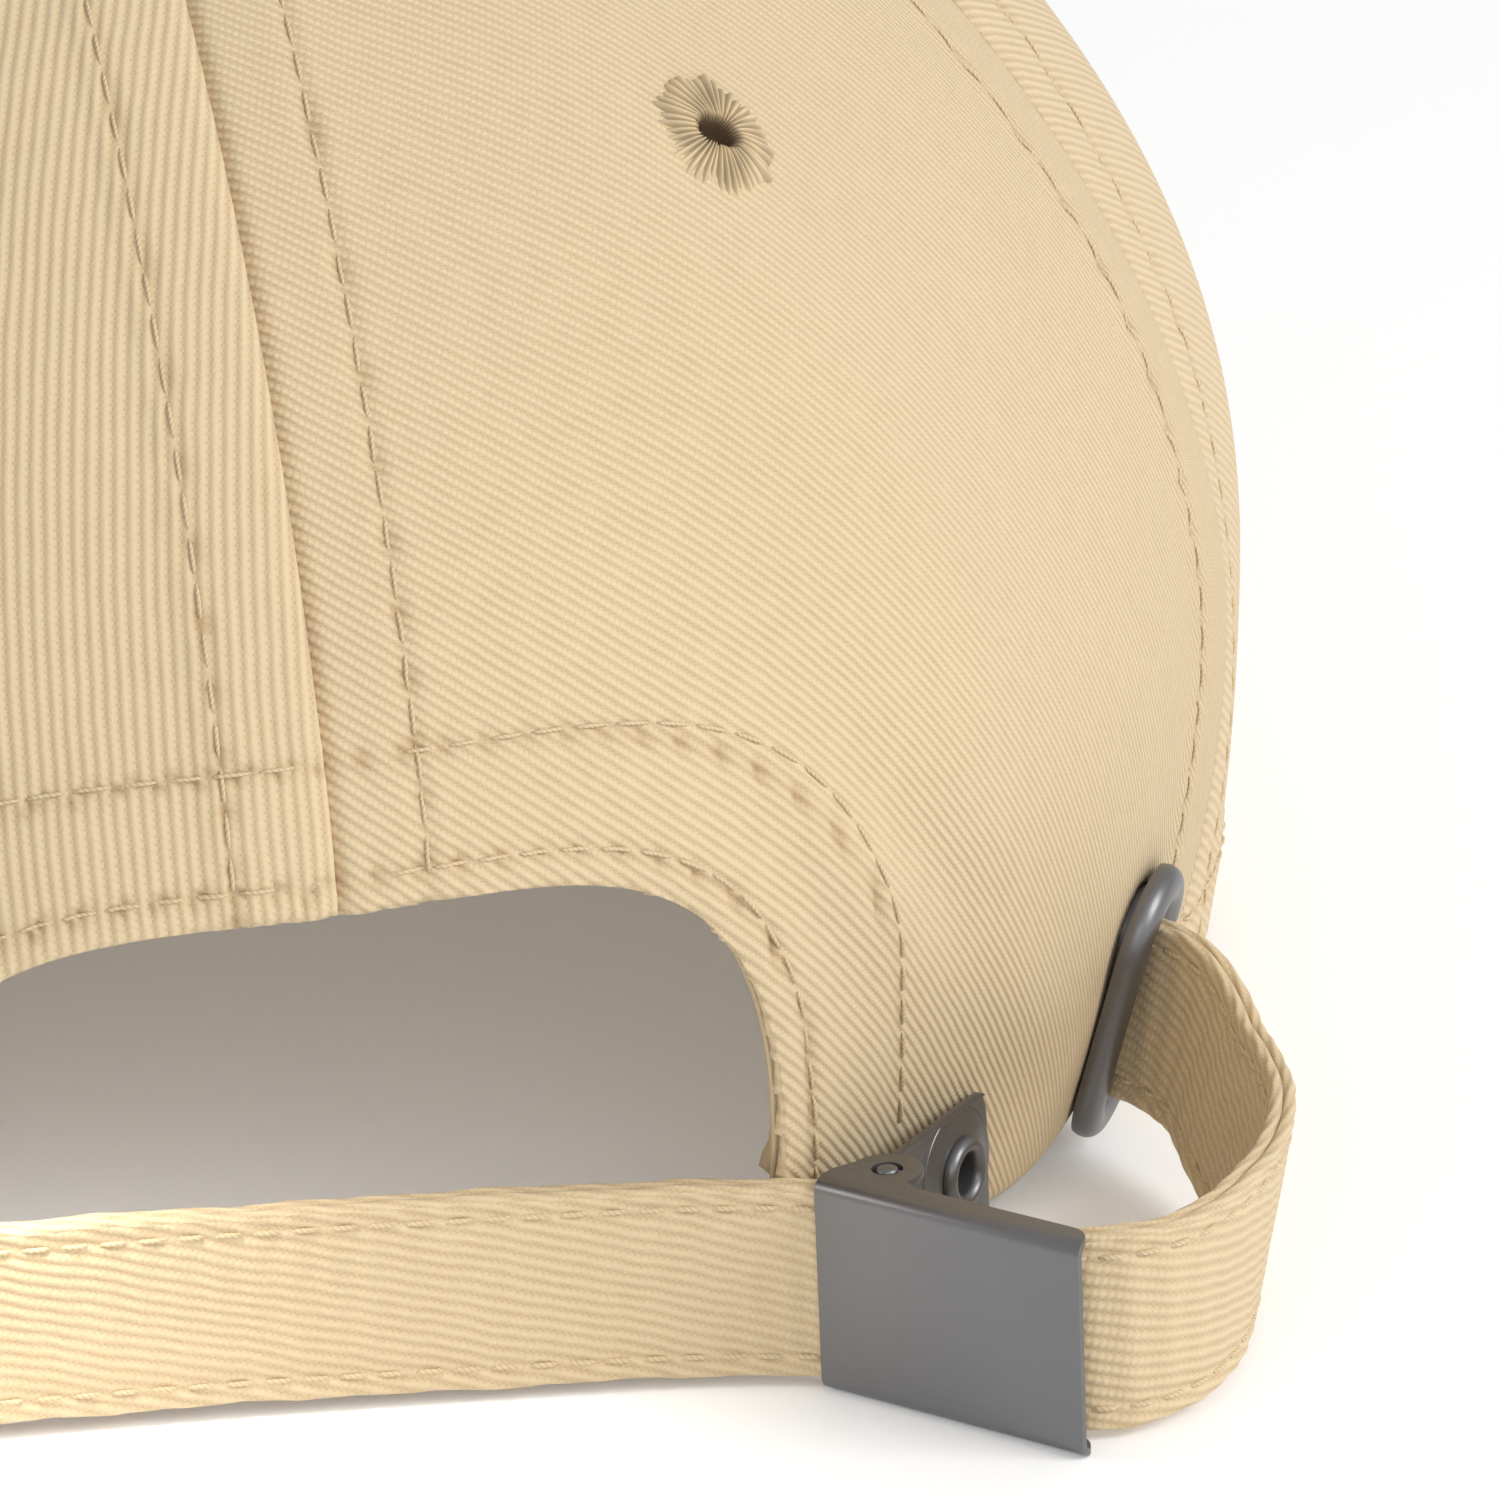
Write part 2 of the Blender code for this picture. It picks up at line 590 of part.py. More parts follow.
def make_base(axes):
    """Base plate with two ears, a nib on each ear for the lever to turn on, and a hole for the rivet."""
    low = SHEET + GAP
    height = LEVER_HEIGHT - 2.0 * low
    start = -BASE_EAR_R
    centre = Matrix.Translation((start, BASE_DEPTH, LEVER_HEIGHT / 2.0))
    base = channel("buckle_base", BASE_LENGTH, BASE_DEPTH + BASE_EAR_R + 1.0 * MM, height, gunmetal("buckle_base"),
                   axes @ centre, -1.0)
    web = BASE_DEPTH - BEND_R
    outline = [
        (0.6 * MM, BASE_DEPTH + 1.0 * MM),
        *arc((0.0, 0.0), BASE_EAR_R, 180.0, 360.0, 12),
        (BASE_EAR_R + 0.4 * MM, web),
        (start + BASE_LENGTH + 1.0 * MM, web),
        (start + BASE_LENGTH + 1.0 * MM, BASE_DEPTH + 1.0 * MM),
    ]
    boolean(base, prism("base_trim", outline, -5.0 * MM, LEVER_HEIGHT + 5.0 * MM, axes), "INTERSECT")
    face = Matrix.Translation((start + BASE_LENGTH / 2.0 - 3.0 * MM, 0.0, LEVER_HEIGHT / 2.0))
    upright = Matrix.Rotation(math.radians(90.0), 4, "X")
    corners = rounded_box(BASE_LENGTH + 6.0 * MM, height, BASE_CORNER_R)
    boolean(base, prism("base_corners", corners, -20.0 * MM, 20.0 * MM, axes @ face @ upright), "INTERSECT")
    for nib_z, name in ((LEVER_HEIGHT - low + 0.2 * MM, "nib_top"), (low - 0.2 * MM, "nib_bottom")):
        nib = cylinder_cutter(name, NIB_R, 1.4 * MM, axes @ Matrix.Translation((0.0, 0.0, nib_z)), 16)
        boolean(base, nib, "UNION")
    boolean(base, cylinder_cutter("rivet_hole", RIVET_BARREL_R + GAP, 6.0 * MM, rivet_axes(axes)))
    return base


def rivet_axes(axes):
    """Frame at the rivet, on the base's front face, Z pointing out of the face."""
    place = Matrix.Translation((RIVET_ALONG, BASE_DEPTH - SHEET, RIVET_Z))
    return axes @ place @ Matrix.Rotation(math.radians(90.0), 4, "X")


def crown_depth(axes):
    """Distance from a frame's origin, against its Z, to the crown's outer face."""
    origin = axes.translation
    inward = -(axes.to_3x3() @ Vector((0.0, 0.0, 1.0)))
    low, high = 0.0, 12.0 * MM
    for _ in range(30):
        middle = (low + high) / 2.0
        point = origin + inward * middle
        phi = math.atan2(-point.x / HALF_WIDTH, point.y / HALF_LENGTH)
        wall = Vector(crown(phi, share_at(phi, point.z)))
        outside = point.xy.length > wall.xy.length
        low, high = (middle, high) if outside else (low, middle)
    return low


def make_rivet(axes, depth):
    """Hollow rivet through base and panel, its far end rolled over a washer."""
    washer_top = -(depth + FABRIC + 2.7 * MM)
    washer_low = washer_top - 0.5 * MM
    end = washer_low - GAP
    head = 0.95 * MM
    profile = (
        (RIVET_BORE_R + 0.45 * MM, GAP + head), (RIVET_R - 0.5 * MM, GAP + head), (RIVET_R, GAP + 0.45 * MM),
        (RIVET_R - 0.1 * MM, GAP), (RIVET_BARREL_R, GAP), (RIVET_BARREL_R, end), (RIVET_R - 0.4 * MM, end),
        (RIVET_R - 0.4 * MM, end - 0.6 * MM), (RIVET_BORE_R, end - 0.6 * MM), (RIVET_BORE_R, GAP + head - 0.4 * MM),
    )
    turned("buckle_rivet", profile, 24, gunmetal("buckle_rivet"), axes)
    washer = (
        (4.3 * MM, washer_top), (4.3 * MM, washer_low),
        (RIVET_BARREL_R + GAP, washer_low), (RIVET_BARREL_R + GAP, washer_top),
    )
    turned("buckle_rivet_washer", washer, 24, gunmetal("buckle_rivet_washer"), axes)


# --- grommet -------------------------------------------------------------------------------


def slot_path(width, length, steps=8):
    """Outline of a slot with round ends, long along Y."""
    radius = width / 2.0
    straight = length / 2.0 - radius
    return [*arc((0.0, straight), radius, 0.0, 180.0, steps), *arc((0.0, -straight), radius, 180.0, 360.0, steps)]


def slot_ring(name, profile, made, axes):
    """Closed ring: a profile of (offset outwards from the slot's edge, height) carried round the slot."""
    length, width = GROMMET_SLOT
    rings = [[(x, y, height) for x, y in slot_path(width + 2.0 * out, length + 2.0 * out)] for out, height in profile]
    rings.append(rings[0])
    mesh = grid_mesh(name, np.array(rings), closed=True)
    made_mesh = bmesh.new()
    made_mesh.from_mesh(mesh)
    bmesh.ops.remove_doubles(made_mesh, verts=made_mesh.verts, dist=1e-6)
    bmesh.ops.recalc_face_normals(made_mesh, faces=made_mesh.faces)
    made_mesh.to_mesh(mesh)
    made_mesh.free()
    soften(mesh)
    obj = add_object(name, mesh, made)
    obj.matrix_world = axes
    return obj


def make_grommet(axes):
    """Rolled long eyelet, its barrel through the panel, and the washer that it is rolled over inside."""
    low = GAP + 0.35 * MM  # the panel is curved under the flat rim
    rim = [
        (0.0, low + 0.5 * MM), (0.25 * GROMMET_RIM, low + 0.85 * GROMMET_RISE), (0.5 * GROMMET_RIM, low + GROMMET_RISE),
        (0.8 * GROMMET_RIM, low + 0.75 * GROMMET_RISE), (GROMMET_RIM, low), (0.8 * MM, low),
    ]
    inside = -(FABRIC + 1.9 * MM)
    slot_ring("tail_grommet", [*rim, (0.8 * MM, inside), (0.0, inside)], gunmetal("tail_grommet"), axes)
    top = -(FABRIC + 1.2 * MM)
    washer = [(1.1 * MM, top), (GROMMET_RIM, top), (GROMMET_RIM, top - 0.5 * MM), (1.1 * MM, top - 0.5 * MM)]
    slot_ring("tail_grommet_washer", washer, gunmetal("tail_grommet_washer"), axes)


# --- strap ---------------------------------------------------------------------------------


def spline(points, count):
    """Points spaced evenly along a smooth curve through the given points."""
    points = np.array(points, float)
    padded = np.vstack([2.0 * points[0] - points[1], points, 2.0 * points[-1] - points[-2]])
    found = []
    for a, b, c, d in zip(padded, padded[1:], padded[2:], padded[3:]):
        t = np.linspace(0.0, 1.0, 24, endpoint=False)[:, None]
        found.append(0.5 * (2 * b + (c - a) * t + (2 * a - 5 * b + 4 * c - d) * t**2 + (3 * b - a - 3 * c + d) * t**3))
    curve = np.vstack([*found, points[-1:]])
    run = np.concatenate([[0.0], np.cumsum(np.linalg.norm(np.diff(curve[:, :3], axis=0), axis=1))])
    even = np.linspace(0.0, run[-1], count)
    return np.stack([np.interp(even, run, curve[:, k]) for k in range(curve.shape[1])], axis=-1)


def strap_sections(route, count, lean):
    """Cross-sections of the strap along a route of (x, y, z, share), upright where share is 0, along lean at 1."""
    path = spline(route, count)
    centre, share = path[:, :3], path[:, 3:]
    along = np.gradient(centre, axis=0)
    side = np.cross(along, (1.0 - share) * (0.0, 0.0, 1.0) + share * lean)
    side /= np.linalg.norm(side, axis=1, keepdims=True)
    up = np.cross(side, along)
    up /= np.linalg.norm(up, axis=1, keepdims=True)
    half_w, half_t, edge = STRAP_WIDTH / 2.0, STRAP_THICK / 2.0, 0.6 * MM
    outline = ((half_t, edge - half_w), (half_t, half_w - edge), (half_t - edge, half_w), (edge - half_t, half_w),
               (-half_t, half_w - edge), (-half_t, edge - half_w), (edge - half_t, -half_w), (half_t - edge, -half_w))
    return [[c + s * t + u * w for t, w in outline] for c, s, u in zip(centre, side, up)]


def make_strap(lever_axes, grommet_axes):
    """The sewn strap up to the buckle, and the tail that loops out behind the lever and into the grommet."""
    behind = LEVER_DEPTH - SHEET - GAP - STRAP_THICK / 2.0
    end = lever_axes @ Vector((-3.0 * MM, 0.3 * MM - behind, 0.0))
    heel = lever_axes @ Vector((0.4 * MM, -behind, 0.0))
    middle = lever_axes @ Vector((9.0 * MM, -behind, 0.0))
    sewn = STRAP_Z + STRAP_RISE
    hand_set = ((38.0, 79.5), (28.0, 80.6), (14.0, 82.3), (0.0, 84.5), (-14.0, 87.1), (-25.5, 89.4), (-31.0, 91.2))
    fixed = [
        *((*crown_at(x * MM, REAR_HEM_Z, SEWN_INWARD)[:2], sewn, 0.0) for x in (54.0, 47.0)),
        *((x * MM, y * MM, sewn - STRAP_RISE * (40.0 - x) / 71.0, 0.0) for x, y in hand_set),
        (end.x, end.y, STRAP_Z, 0.0),
        (heel.x, heel.y, STRAP_Z, 0.0),
    ]
    lean = np.array(grommet_axes.col[1][:3])
    band("back_strap", strap_sections(fixed, 30, lean), twill("back_strap"))
    start = lever_axes @ Vector((0.8 * MM, -behind, 0.0))
    loop = [
        (start.x, start.y, STRAP_Z, 0.0),
        (middle.x, middle.y, STRAP_Z, 0.0),
        (-47.6 * MM, 106.2 * MM, STRAP_Z, 0.0),
        (-51.8 * MM, 107.6 * MM, STRAP_Z, 0.0),
        (-56.4 * MM, 106.7 * MM, STRAP_Z, 0.1),
        (-61.0 * MM, 103.0 * MM, STRAP_Z + 0.1 * MM, 0.2),
        (-65.0 * MM, 97.5 * MM, STRAP_Z + 0.3 * MM, 0.5),
        (-68.6 * MM, 90.5 * MM, STRAP_Z + 0.7 * MM, 0.8),
        (-70.6 * MM, 83.0 * MM, STRAP_Z + 1.2 * MM, 1.0),
        (-71.0 * MM, 76.0 * MM, STRAP_Z + 1.8 * MM, 1.0),
    ]
    outward = grommet_axes.col[2]
    flat = Matrix.Translation(grommet_axes.translation) @ Matrix.Rotation(math.atan2(outward.y, outward.x), 4, "Z")
    through = ((9.0, -3.2), (5.0, -1.9), (2.2, -0.9), (-0.6, -0.2), (-3.6, 0.4), (-6.4, 3.9), (-6.6, 9.5))
    loop += [(*(flat @ (Vector((out, across, -0.12 * out)) * MM)), 1.0) for out, across in through]
    loop += [(*crown(a, share_at(a, GROMMET_Z), TAIL_INWARD), 1.0) for a in map(math.radians, TAIL_END_DEGREES)]
    band("strap_tail", strap_sections(loop, 54, lean), twill("strap_tail"))


def main():
    clear_scene()
    make_collections()
    base_axes = plan_axes(BASE_DIRECTION_DEGREES)
    lever_axes = plan_axes(BASE_DIRECTION_DEGREES - LEVER_OPEN_DEGREES)
    rivet = rivet_axes(base_axes)
    grommet_axes = crown_axes(math.radians(GROMMET_DEGREES), GROMMET_Z)
    arch = arch_cutter()
    rivet_cut = cylinder_cutter("rivet_panel_hole", RIVET_BARREL_R + 0.5 * MM, 30.0 * MM, rivet)
    slot_cut = prism("grommet_panel_hole", slot_path(GROMMET_SLOT[1] + 2.3 * MM, GROMMET_SLOT[0] + 2.3 * MM),
                     -6.0 * MM, 6.0 * MM, grommet_axes)
    for index, name in enumerate(PANELS):
        cuts = [cylinder_cutter(f"{name}_eyelet_hole", EYELET_HOLE_R, 8.0 * MM, eyelet_axes(index))]
        cuts += {"back_right": [arch, rivet_cut, slot_cut], "back_left": [arch]}.get(name, [])
        make_panel(index, cuts)
        make_eyelet(index)
    arch_top = share_at(0.0, REAR_HEM_Z + ARCH_HEIGHT + FACING_WIDTH + 0.6 * MM)
    for index in range(len(PANELS)):
        make_tape(index, arch_top if index == 0 else 0.015)
    make_arch_facing()
    make_sweatband()
    make_visor()
    make_button()
    make_lever(lever_axes)
    make_base(base_axes)
    make_rivet(rivet, crown_depth(rivet))
    make_grommet(grommet_axes)
    make_strap(lever_axes, grommet_axes)


main()
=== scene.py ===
"""Baseball cap: six-panel twill crown, curved visor, tuck-in strap and flip-lever buckle.

Metres, +Z up, the cap standing on Z = 0. The visor points to -Y, the back opening to +Y and the
wearer's right is -X. Angles round the crown run from the back seam towards -X.
"""

import logging
import math
from collections.abc import Callable, Sequence
from dataclasses import dataclass, field
from enum import Enum

import bmesh
import bpy
import numpy as np
from mathutils import Matrix, Vector


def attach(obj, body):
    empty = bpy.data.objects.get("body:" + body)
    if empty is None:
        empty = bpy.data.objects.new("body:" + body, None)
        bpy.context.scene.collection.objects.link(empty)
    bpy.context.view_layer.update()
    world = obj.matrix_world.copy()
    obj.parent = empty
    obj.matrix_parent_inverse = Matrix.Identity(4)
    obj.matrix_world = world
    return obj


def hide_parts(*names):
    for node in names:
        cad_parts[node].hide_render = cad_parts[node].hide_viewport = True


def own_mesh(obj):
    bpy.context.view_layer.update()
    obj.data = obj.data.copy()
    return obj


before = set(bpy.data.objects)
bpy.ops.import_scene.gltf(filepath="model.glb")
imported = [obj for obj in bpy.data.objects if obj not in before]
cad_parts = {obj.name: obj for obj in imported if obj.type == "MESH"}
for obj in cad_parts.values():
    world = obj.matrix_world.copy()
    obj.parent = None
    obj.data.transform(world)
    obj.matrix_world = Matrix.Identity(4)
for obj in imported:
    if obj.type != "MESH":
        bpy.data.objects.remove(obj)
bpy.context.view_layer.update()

LOG = logging.getLogger("cap")
MM = 0.001
Array = np.ndarray
Colour = tuple[float, float, float]


class Body(Enum):
    """The two rigid bodies of the model."""

    CAP = "cap"
    LEVER = "lever"


def smooth(value: Array) -> Array:
    """Smoothstep of value, clipped to 0..1."""
    value = np.clip(value, 0.0, 1.0)
    return value * value * (3.0 - 2.0 * value)


def bell(distance: Array, width: float) -> Array:
    """Gaussian bell, 1 at distance 0 and 1/e at width."""
    return np.exp(-((distance / width) ** 2))


# --- meshes --------------------------------------------------------------------------------


def run_along(points: Array) -> Array:
    """Run along a polyline at each of its points: the sum of the lengths of its steps so far."""
    return np.concatenate([[0.0], np.cumsum(np.linalg.norm(np.diff(points, axis=0), axis=-1))])


def make_object(
    name: str, points: Array, faces: Sequence, uv: Array | None = None, hollow_shade: Array | None = None
) -> bpy.types.Object:
    """Mesh object from points and faces.

    Args:
        name: Name of the object and its mesh.
        points: Vertex positions, n by 3.
        faces: Vertex indices of each face.
        uv: Cloth coordinates of each vertex in metres, n by 2, or None.
        hollow_shade: Painted shade of each vertex, 0 to 1, strongest in needle holes, seams and eyelet bores, or
            None.

    Returns:
        The linked object, smooth shaded.
    """
    mesh = bpy.data.meshes.new(name)
    faces = faces.tolist() if isinstance(faces, np.ndarray) else list(faces)
    mesh.from_pydata(np.asarray(points, float).reshape(-1, 3).tolist(), [], faces)
    if uv is not None:
        index = np.zeros(len(mesh.loops), int)
        mesh.loops.foreach_get("vertex_index", index)
        layer = mesh.uv_layers.new(name="cloth")
        layer.data.foreach_set("uv", np.asarray(uv, float).reshape(-1, 2)[index].ravel())
    if hollow_shade is not None:
        depth = mesh.attributes.new("hollow_shade", "FLOAT", "POINT")
        depth.data.foreach_set("value", np.asarray(hollow_shade, np.float32).ravel())
    mesh.shade_smooth()
    obj = bpy.data.objects.new(name, mesh)
    bpy.context.scene.collection.objects.link(obj)
    return obj


def grid_faces(rows: int, columns: int) -> Array:
    """Quads of a grid of rows by columns points, counter-clockwise for columns to the right and rows up."""
    index = np.arange(rows * columns).reshape(rows, columns)
    return np.stack([index[:-1, :-1], index[:-1, 1:], index[1:, 1:], index[1:, :-1]], axis=-1).reshape(-1, 4)


def weld(obj: bpy.types.Object, distance: float = 1e-6, outward: bool = False) -> bpy.types.Object:
    """Merges doubles, and where asked turns the faces of a closed shell outwards."""
    mesh = bmesh.new()
    mesh.from_mesh(obj.data)
    bmesh.ops.remove_doubles(mesh, verts=mesh.verts, dist=distance)
    if outward:
        bmesh.ops.recalc_face_normals(mesh, faces=mesh.faces)
    mesh.to_mesh(obj.data)
    mesh.free()
    return obj


def solidify(obj: bpy.types.Object, thickness: float, offset: float = -1.0) -> bpy.types.Object:
    """Gives a cloth surface its thickness, against its normals at offset -1."""
    solid = obj.modifiers.new("thickness", "SOLIDIFY")
    solid.thickness = thickness
    solid.offset = offset
    return obj


def place(obj: bpy.types.Object, axes: Matrix) -> bpy.types.Object:
    """Puts a frame's transform into the mesh and leaves the object at the origin."""
    obj.data.transform(axes)
    obj.data.update()
    return obj


def bake(obj: bpy.types.Object) -> bpy.types.Object:
    """Applies the object's modifiers to its mesh."""
    evaluated = obj.evaluated_get(bpy.context.evaluated_depsgraph_get())
    mesh = bpy.data.meshes.new_from_object(evaluated)
    obj.modifiers.clear()
    obj.data = mesh
    return obj


def carve(obj: bpy.types.Object, cutter: bpy.types.Object, operation: str = "DIFFERENCE") -> bpy.types.Object:
    """Boolean with a cutter, applied, and the cutter removed."""
    made = obj.modifiers.new("carve", "BOOLEAN")
    made.operation = operation
    made.object = cutter
    bake(obj)
    bpy.data.objects.remove(cutter, do_unlink=True)
    return obj


def join(name: str, parts: Sequence[bpy.types.Object]) -> bpy.types.Object:
    """Joins finished objects into the first one, under a name."""
    mesh = bmesh.new()
    for part in parts:
        mesh.from_mesh(part.data)
    mesh.to_mesh(parts[0].data)
    mesh.free()
    for part in parts[1:]:
        bpy.data.objects.remove(part, do_unlink=True)
    parts[0].name = name
    return parts[0]


def prism(outline: Sequence, low: float, high: float, axes: Matrix) -> bpy.types.Object:
    """Closed prism: a plane outline of (x, y) points raised from low to high along the frame's Z."""
    count = len(outline)
    points = [(x, y, z) for z in (low, high) for x, y in outline]
    sides = [(i, (i + 1) % count, count + (i + 1) % count, count + i) for i in range(count)]
    faces = [tuple(range(count))[::-1], tuple(range(count, 2 * count)), *sides]
    return place(weld(make_object("cutter", np.array(points), faces), outward=True), axes)


def arc(centre: tuple[float, float], radius: float, start: float, end: float, steps: int) -> list:
    """Points along an arc, its angles in degrees."""
    angles = np.radians(np.linspace(start, end, steps + 1))
    return [(centre[0] + radius * math.cos(a), centre[1] + radius * math.sin(a)) for a in angles]


def rounded_box(width: float, height: float, radius: float, steps: int = 10) -> list:
    """Outline of a rectangle with round corners, centred on the origin."""
    x, y = width / 2.0 - radius, height / 2.0 - radius
    corners = ((x, y, 0.0), (-x, y, 90.0), (-x, -y, 180.0), (x, -y, 270.0))
    return [p for cx, cy, turn in corners for p in arc((cx, cy), radius, turn, turn + 90.0, steps)]


def turned(name: str, profile: Sequence, steps: int, axes: Matrix) -> bpy.types.Object:
    """Closed profile of (radius, height) turned about the frame's Z; its UV is the arc and the profile's run."""
    ring = np.array([*profile, profile[0]], float)
    angle = np.linspace(0.0, 2.0 * math.pi, steps + 1)[:, None]
    run = np.concatenate([[0.0], np.cumsum(np.hypot(*np.diff(ring, axis=0).T))])
    points = np.stack([ring[:, 0] * np.cos(angle), ring[:, 0] * np.sin(angle), ring[:, 1] + 0.0 * angle], -1)
    uv = np.stack([angle * ring[:, 0].max() + 0.0 * run, run + 0.0 * angle], -1)
    obj = make_object(name, points, grid_faces(steps + 1, len(ring)), uv)
    return place(weld(obj, outward=True), axes)


def tubes(name: str, paths: Array, normals: Array, radius: Array, sides: int = 6) -> bpy.types.Object:
    """Many short closed threads in one mesh.

    Args:
        name: Name of the object.
        paths: Centre lines, threads by points by 3.
        normals: Surface normal at each thread, threads by 3.
        radius: Radius at each point of a thread.
        sides: Number of sides of a thread.

    Returns:
        One object; its UV is the thread's run and its turn.
    """
    count, steps = paths.shape[:2]
    along = np.gradient(paths, axis=1)
    along /= np.linalg.norm(along, axis=-1, keepdims=True)
    side = np.cross(along, normals[:, None, :])
    side /= np.linalg.norm(side, axis=-1, keepdims=True)
    up = np.cross(side, along)
    turn = np.linspace(0.0, 2.0 * math.pi, sides, endpoint=False)
    ring = side[:, :, None] * np.cos(turn)[:, None] + up[:, :, None] * np.sin(turn)[:, None]
    points = paths[:, :, None] + ring * radius[None, :, None, None]
    index = np.arange(count * steps * sides).reshape(count, steps, sides)
    after = np.roll(index, -1, axis=2)
    quads = np.stack([index[:, :-1], after[:, :-1], after[:, 1:], index[:, 1:]], -1).reshape(-1, 4)
    caps = [*index[:, 0, ::-1].tolist(), *index[:, -1].tolist()]
    run = np.linalg.norm(paths - paths[:, :1], axis=-1)[:, :, None] + 0.0 * turn
    uv = np.stack([run, 0.0 * run + turn * radius.max()], -1)
    return weld(make_object(name, points, [*quads.tolist(), *caps], uv), 1e-9, outward=True)


@dataclass(frozen=True)
class Stitching:
    """A row of lock stitches: short threads that dive into the cloth at both ends."""

    pitch: float = 3.2 * MM
    gap: float = 0.60 * MM
    radius: float = 0.15 * MM
    proud: float = -0.02 * MM

    def row(self, path: Array, normals: Array) -> tuple[Array, Array]:
        """Threads along one path.

        Args:
            path: Points on the cloth, n by 3.
            normals: Cloth normals there, n by 3.

        Returns:
            The threads' centre lines, and one normal for each.
        """
        run = run_along(path)
        count = max(1, int(run[-1] // self.pitch))
        start = (run[-1] - count * self.pitch) / 2.0 + self.gap / 2.0
        share = np.linspace(0.0, 1.0, 6)
        at = start + self.pitch * np.arange(count)[:, None] + share * (self.pitch - self.gap)
        points = np.stack([np.interp(at, run, path[:, k]) for k in range(3)], -1)
        facing = np.stack([np.interp(at, run, normals[:, k]) for k in range(3)], -1)
        facing /= np.linalg.norm(facing, axis=-1, keepdims=True)
        lift = self.proud - 1.2 * self.radius * np.abs(2.0 * share - 1.0) ** 4
        return points + facing * lift[:, None], facing[:, 2]

    def mesh(self, name: str, rows: Sequence[tuple[Array, Array]]) -> bpy.types.Object:
        """All the threads of several rows, given as (path, normals), in one object."""
        made = [self.row(*each) for each in rows]
        radius = self.radius * np.array([0.55, 0.95, 1.0, 1.0, 0.95, 0.55])
        return tubes(name, np.concatenate([m[0] for m in made]), np.concatenate([m[1] for m in made]), radius)


# --- finishes ------------------------------------------------------------------------------


class Graph:
    """Short hand for building a node tree."""

    def __init__(self, tree: bpy.types.NodeTree) -> None:
        """Keeps the tree that nodes are added to."""
        self.tree = tree

    def node(self, kind: str, inputs: dict | None = None, **settings: object) -> bpy.types.Node:
        """Adds a node, sets its properties, and links or sets its inputs."""
        made = self.tree.nodes.new(kind)
        for key, value in settings.items():
            setattr(made, key, value)
        for key, value in (inputs or {}).items():
            if isinstance(value, bpy.types.NodeSocket):
                self.tree.links.new(value, made.inputs[key])
            else:
                made.inputs[key].default_value = value
        return made

    def math(self, operation: str, *values: object) -> bpy.types.NodeSocket:
        """Math node on up to three values."""
        return self.node("ShaderNodeMath", dict(enumerate(values)), operation=operation).outputs[0]

    def noise(self, vector: bpy.types.NodeSocket, scale: float, detail: float = 2.0) -> bpy.types.NodeSocket:
        """Noise value on a vector."""
        inputs = {"Vector": vector, "Scale": scale, "Detail": detail, "Roughness": 0.55}
        return self.node("ShaderNodeTexNoise", inputs).outputs["Fac"]

    def mix(self, factor: object, low: object, high: object, blend: str = "MIX") -> bpy.types.NodeSocket:
        """Colour mix."""
        inputs = {"Factor": factor, "A": low, "B": high}
        made = self.node("ShaderNodeMix", data_type="RGBA", blend_type=blend)
        for key, value in inputs.items():
            socket = next(s for s in made.inputs if s.name == key and (key == "Factor" or s.type == "RGBA"))
            if isinstance(value, bpy.types.NodeSocket):
                self.tree.links.new(value, socket)
            else:
                socket.default_value = value
        return next(s for s in made.outputs if s.type == "RGBA")

    def group(self, tree: bpy.types.NodeTree, inputs: dict) -> bpy.types.Node:
        """Group node with its inputs."""
        made = self.tree.nodes.new("ShaderNodeGroup")
        made.node_tree = tree
        for key, value in inputs.items():
            if isinstance(value, bpy.types.NodeSocket):
                self.tree.links.new(value, made.inputs[key])
            else:
                made.inputs[key].default_value = value
        return made


def new_group(name: str, inputs: dict[str, tuple[str, object]], outputs: dict[str, str]) -> tuple:
    """Empty shader node group.

    Args:
        name: Name of the group.
        inputs: Kind and default value of each input, by name.
        outputs: Kind of each output, by name.

    Returns:
        The tree, a Graph on it, its input node and its output node.
    """
    tree = bpy.data.node_groups.new(name, "ShaderNodeTree")
    for key, (kind, value) in inputs.items():
        socket = tree.interface.new_socket(key, in_out="INPUT", socket_type=f"NodeSocket{kind}")
        if kind == "Float":
            socket.default_value = value
    for key, kind in outputs.items():
        tree.interface.new_socket(key, in_out="OUTPUT", socket_type=f"NodeSocket{kind}")
    graph = Graph(tree)
    return tree, graph, graph.node("NodeGroupInput"), graph.node("NodeGroupOutput")


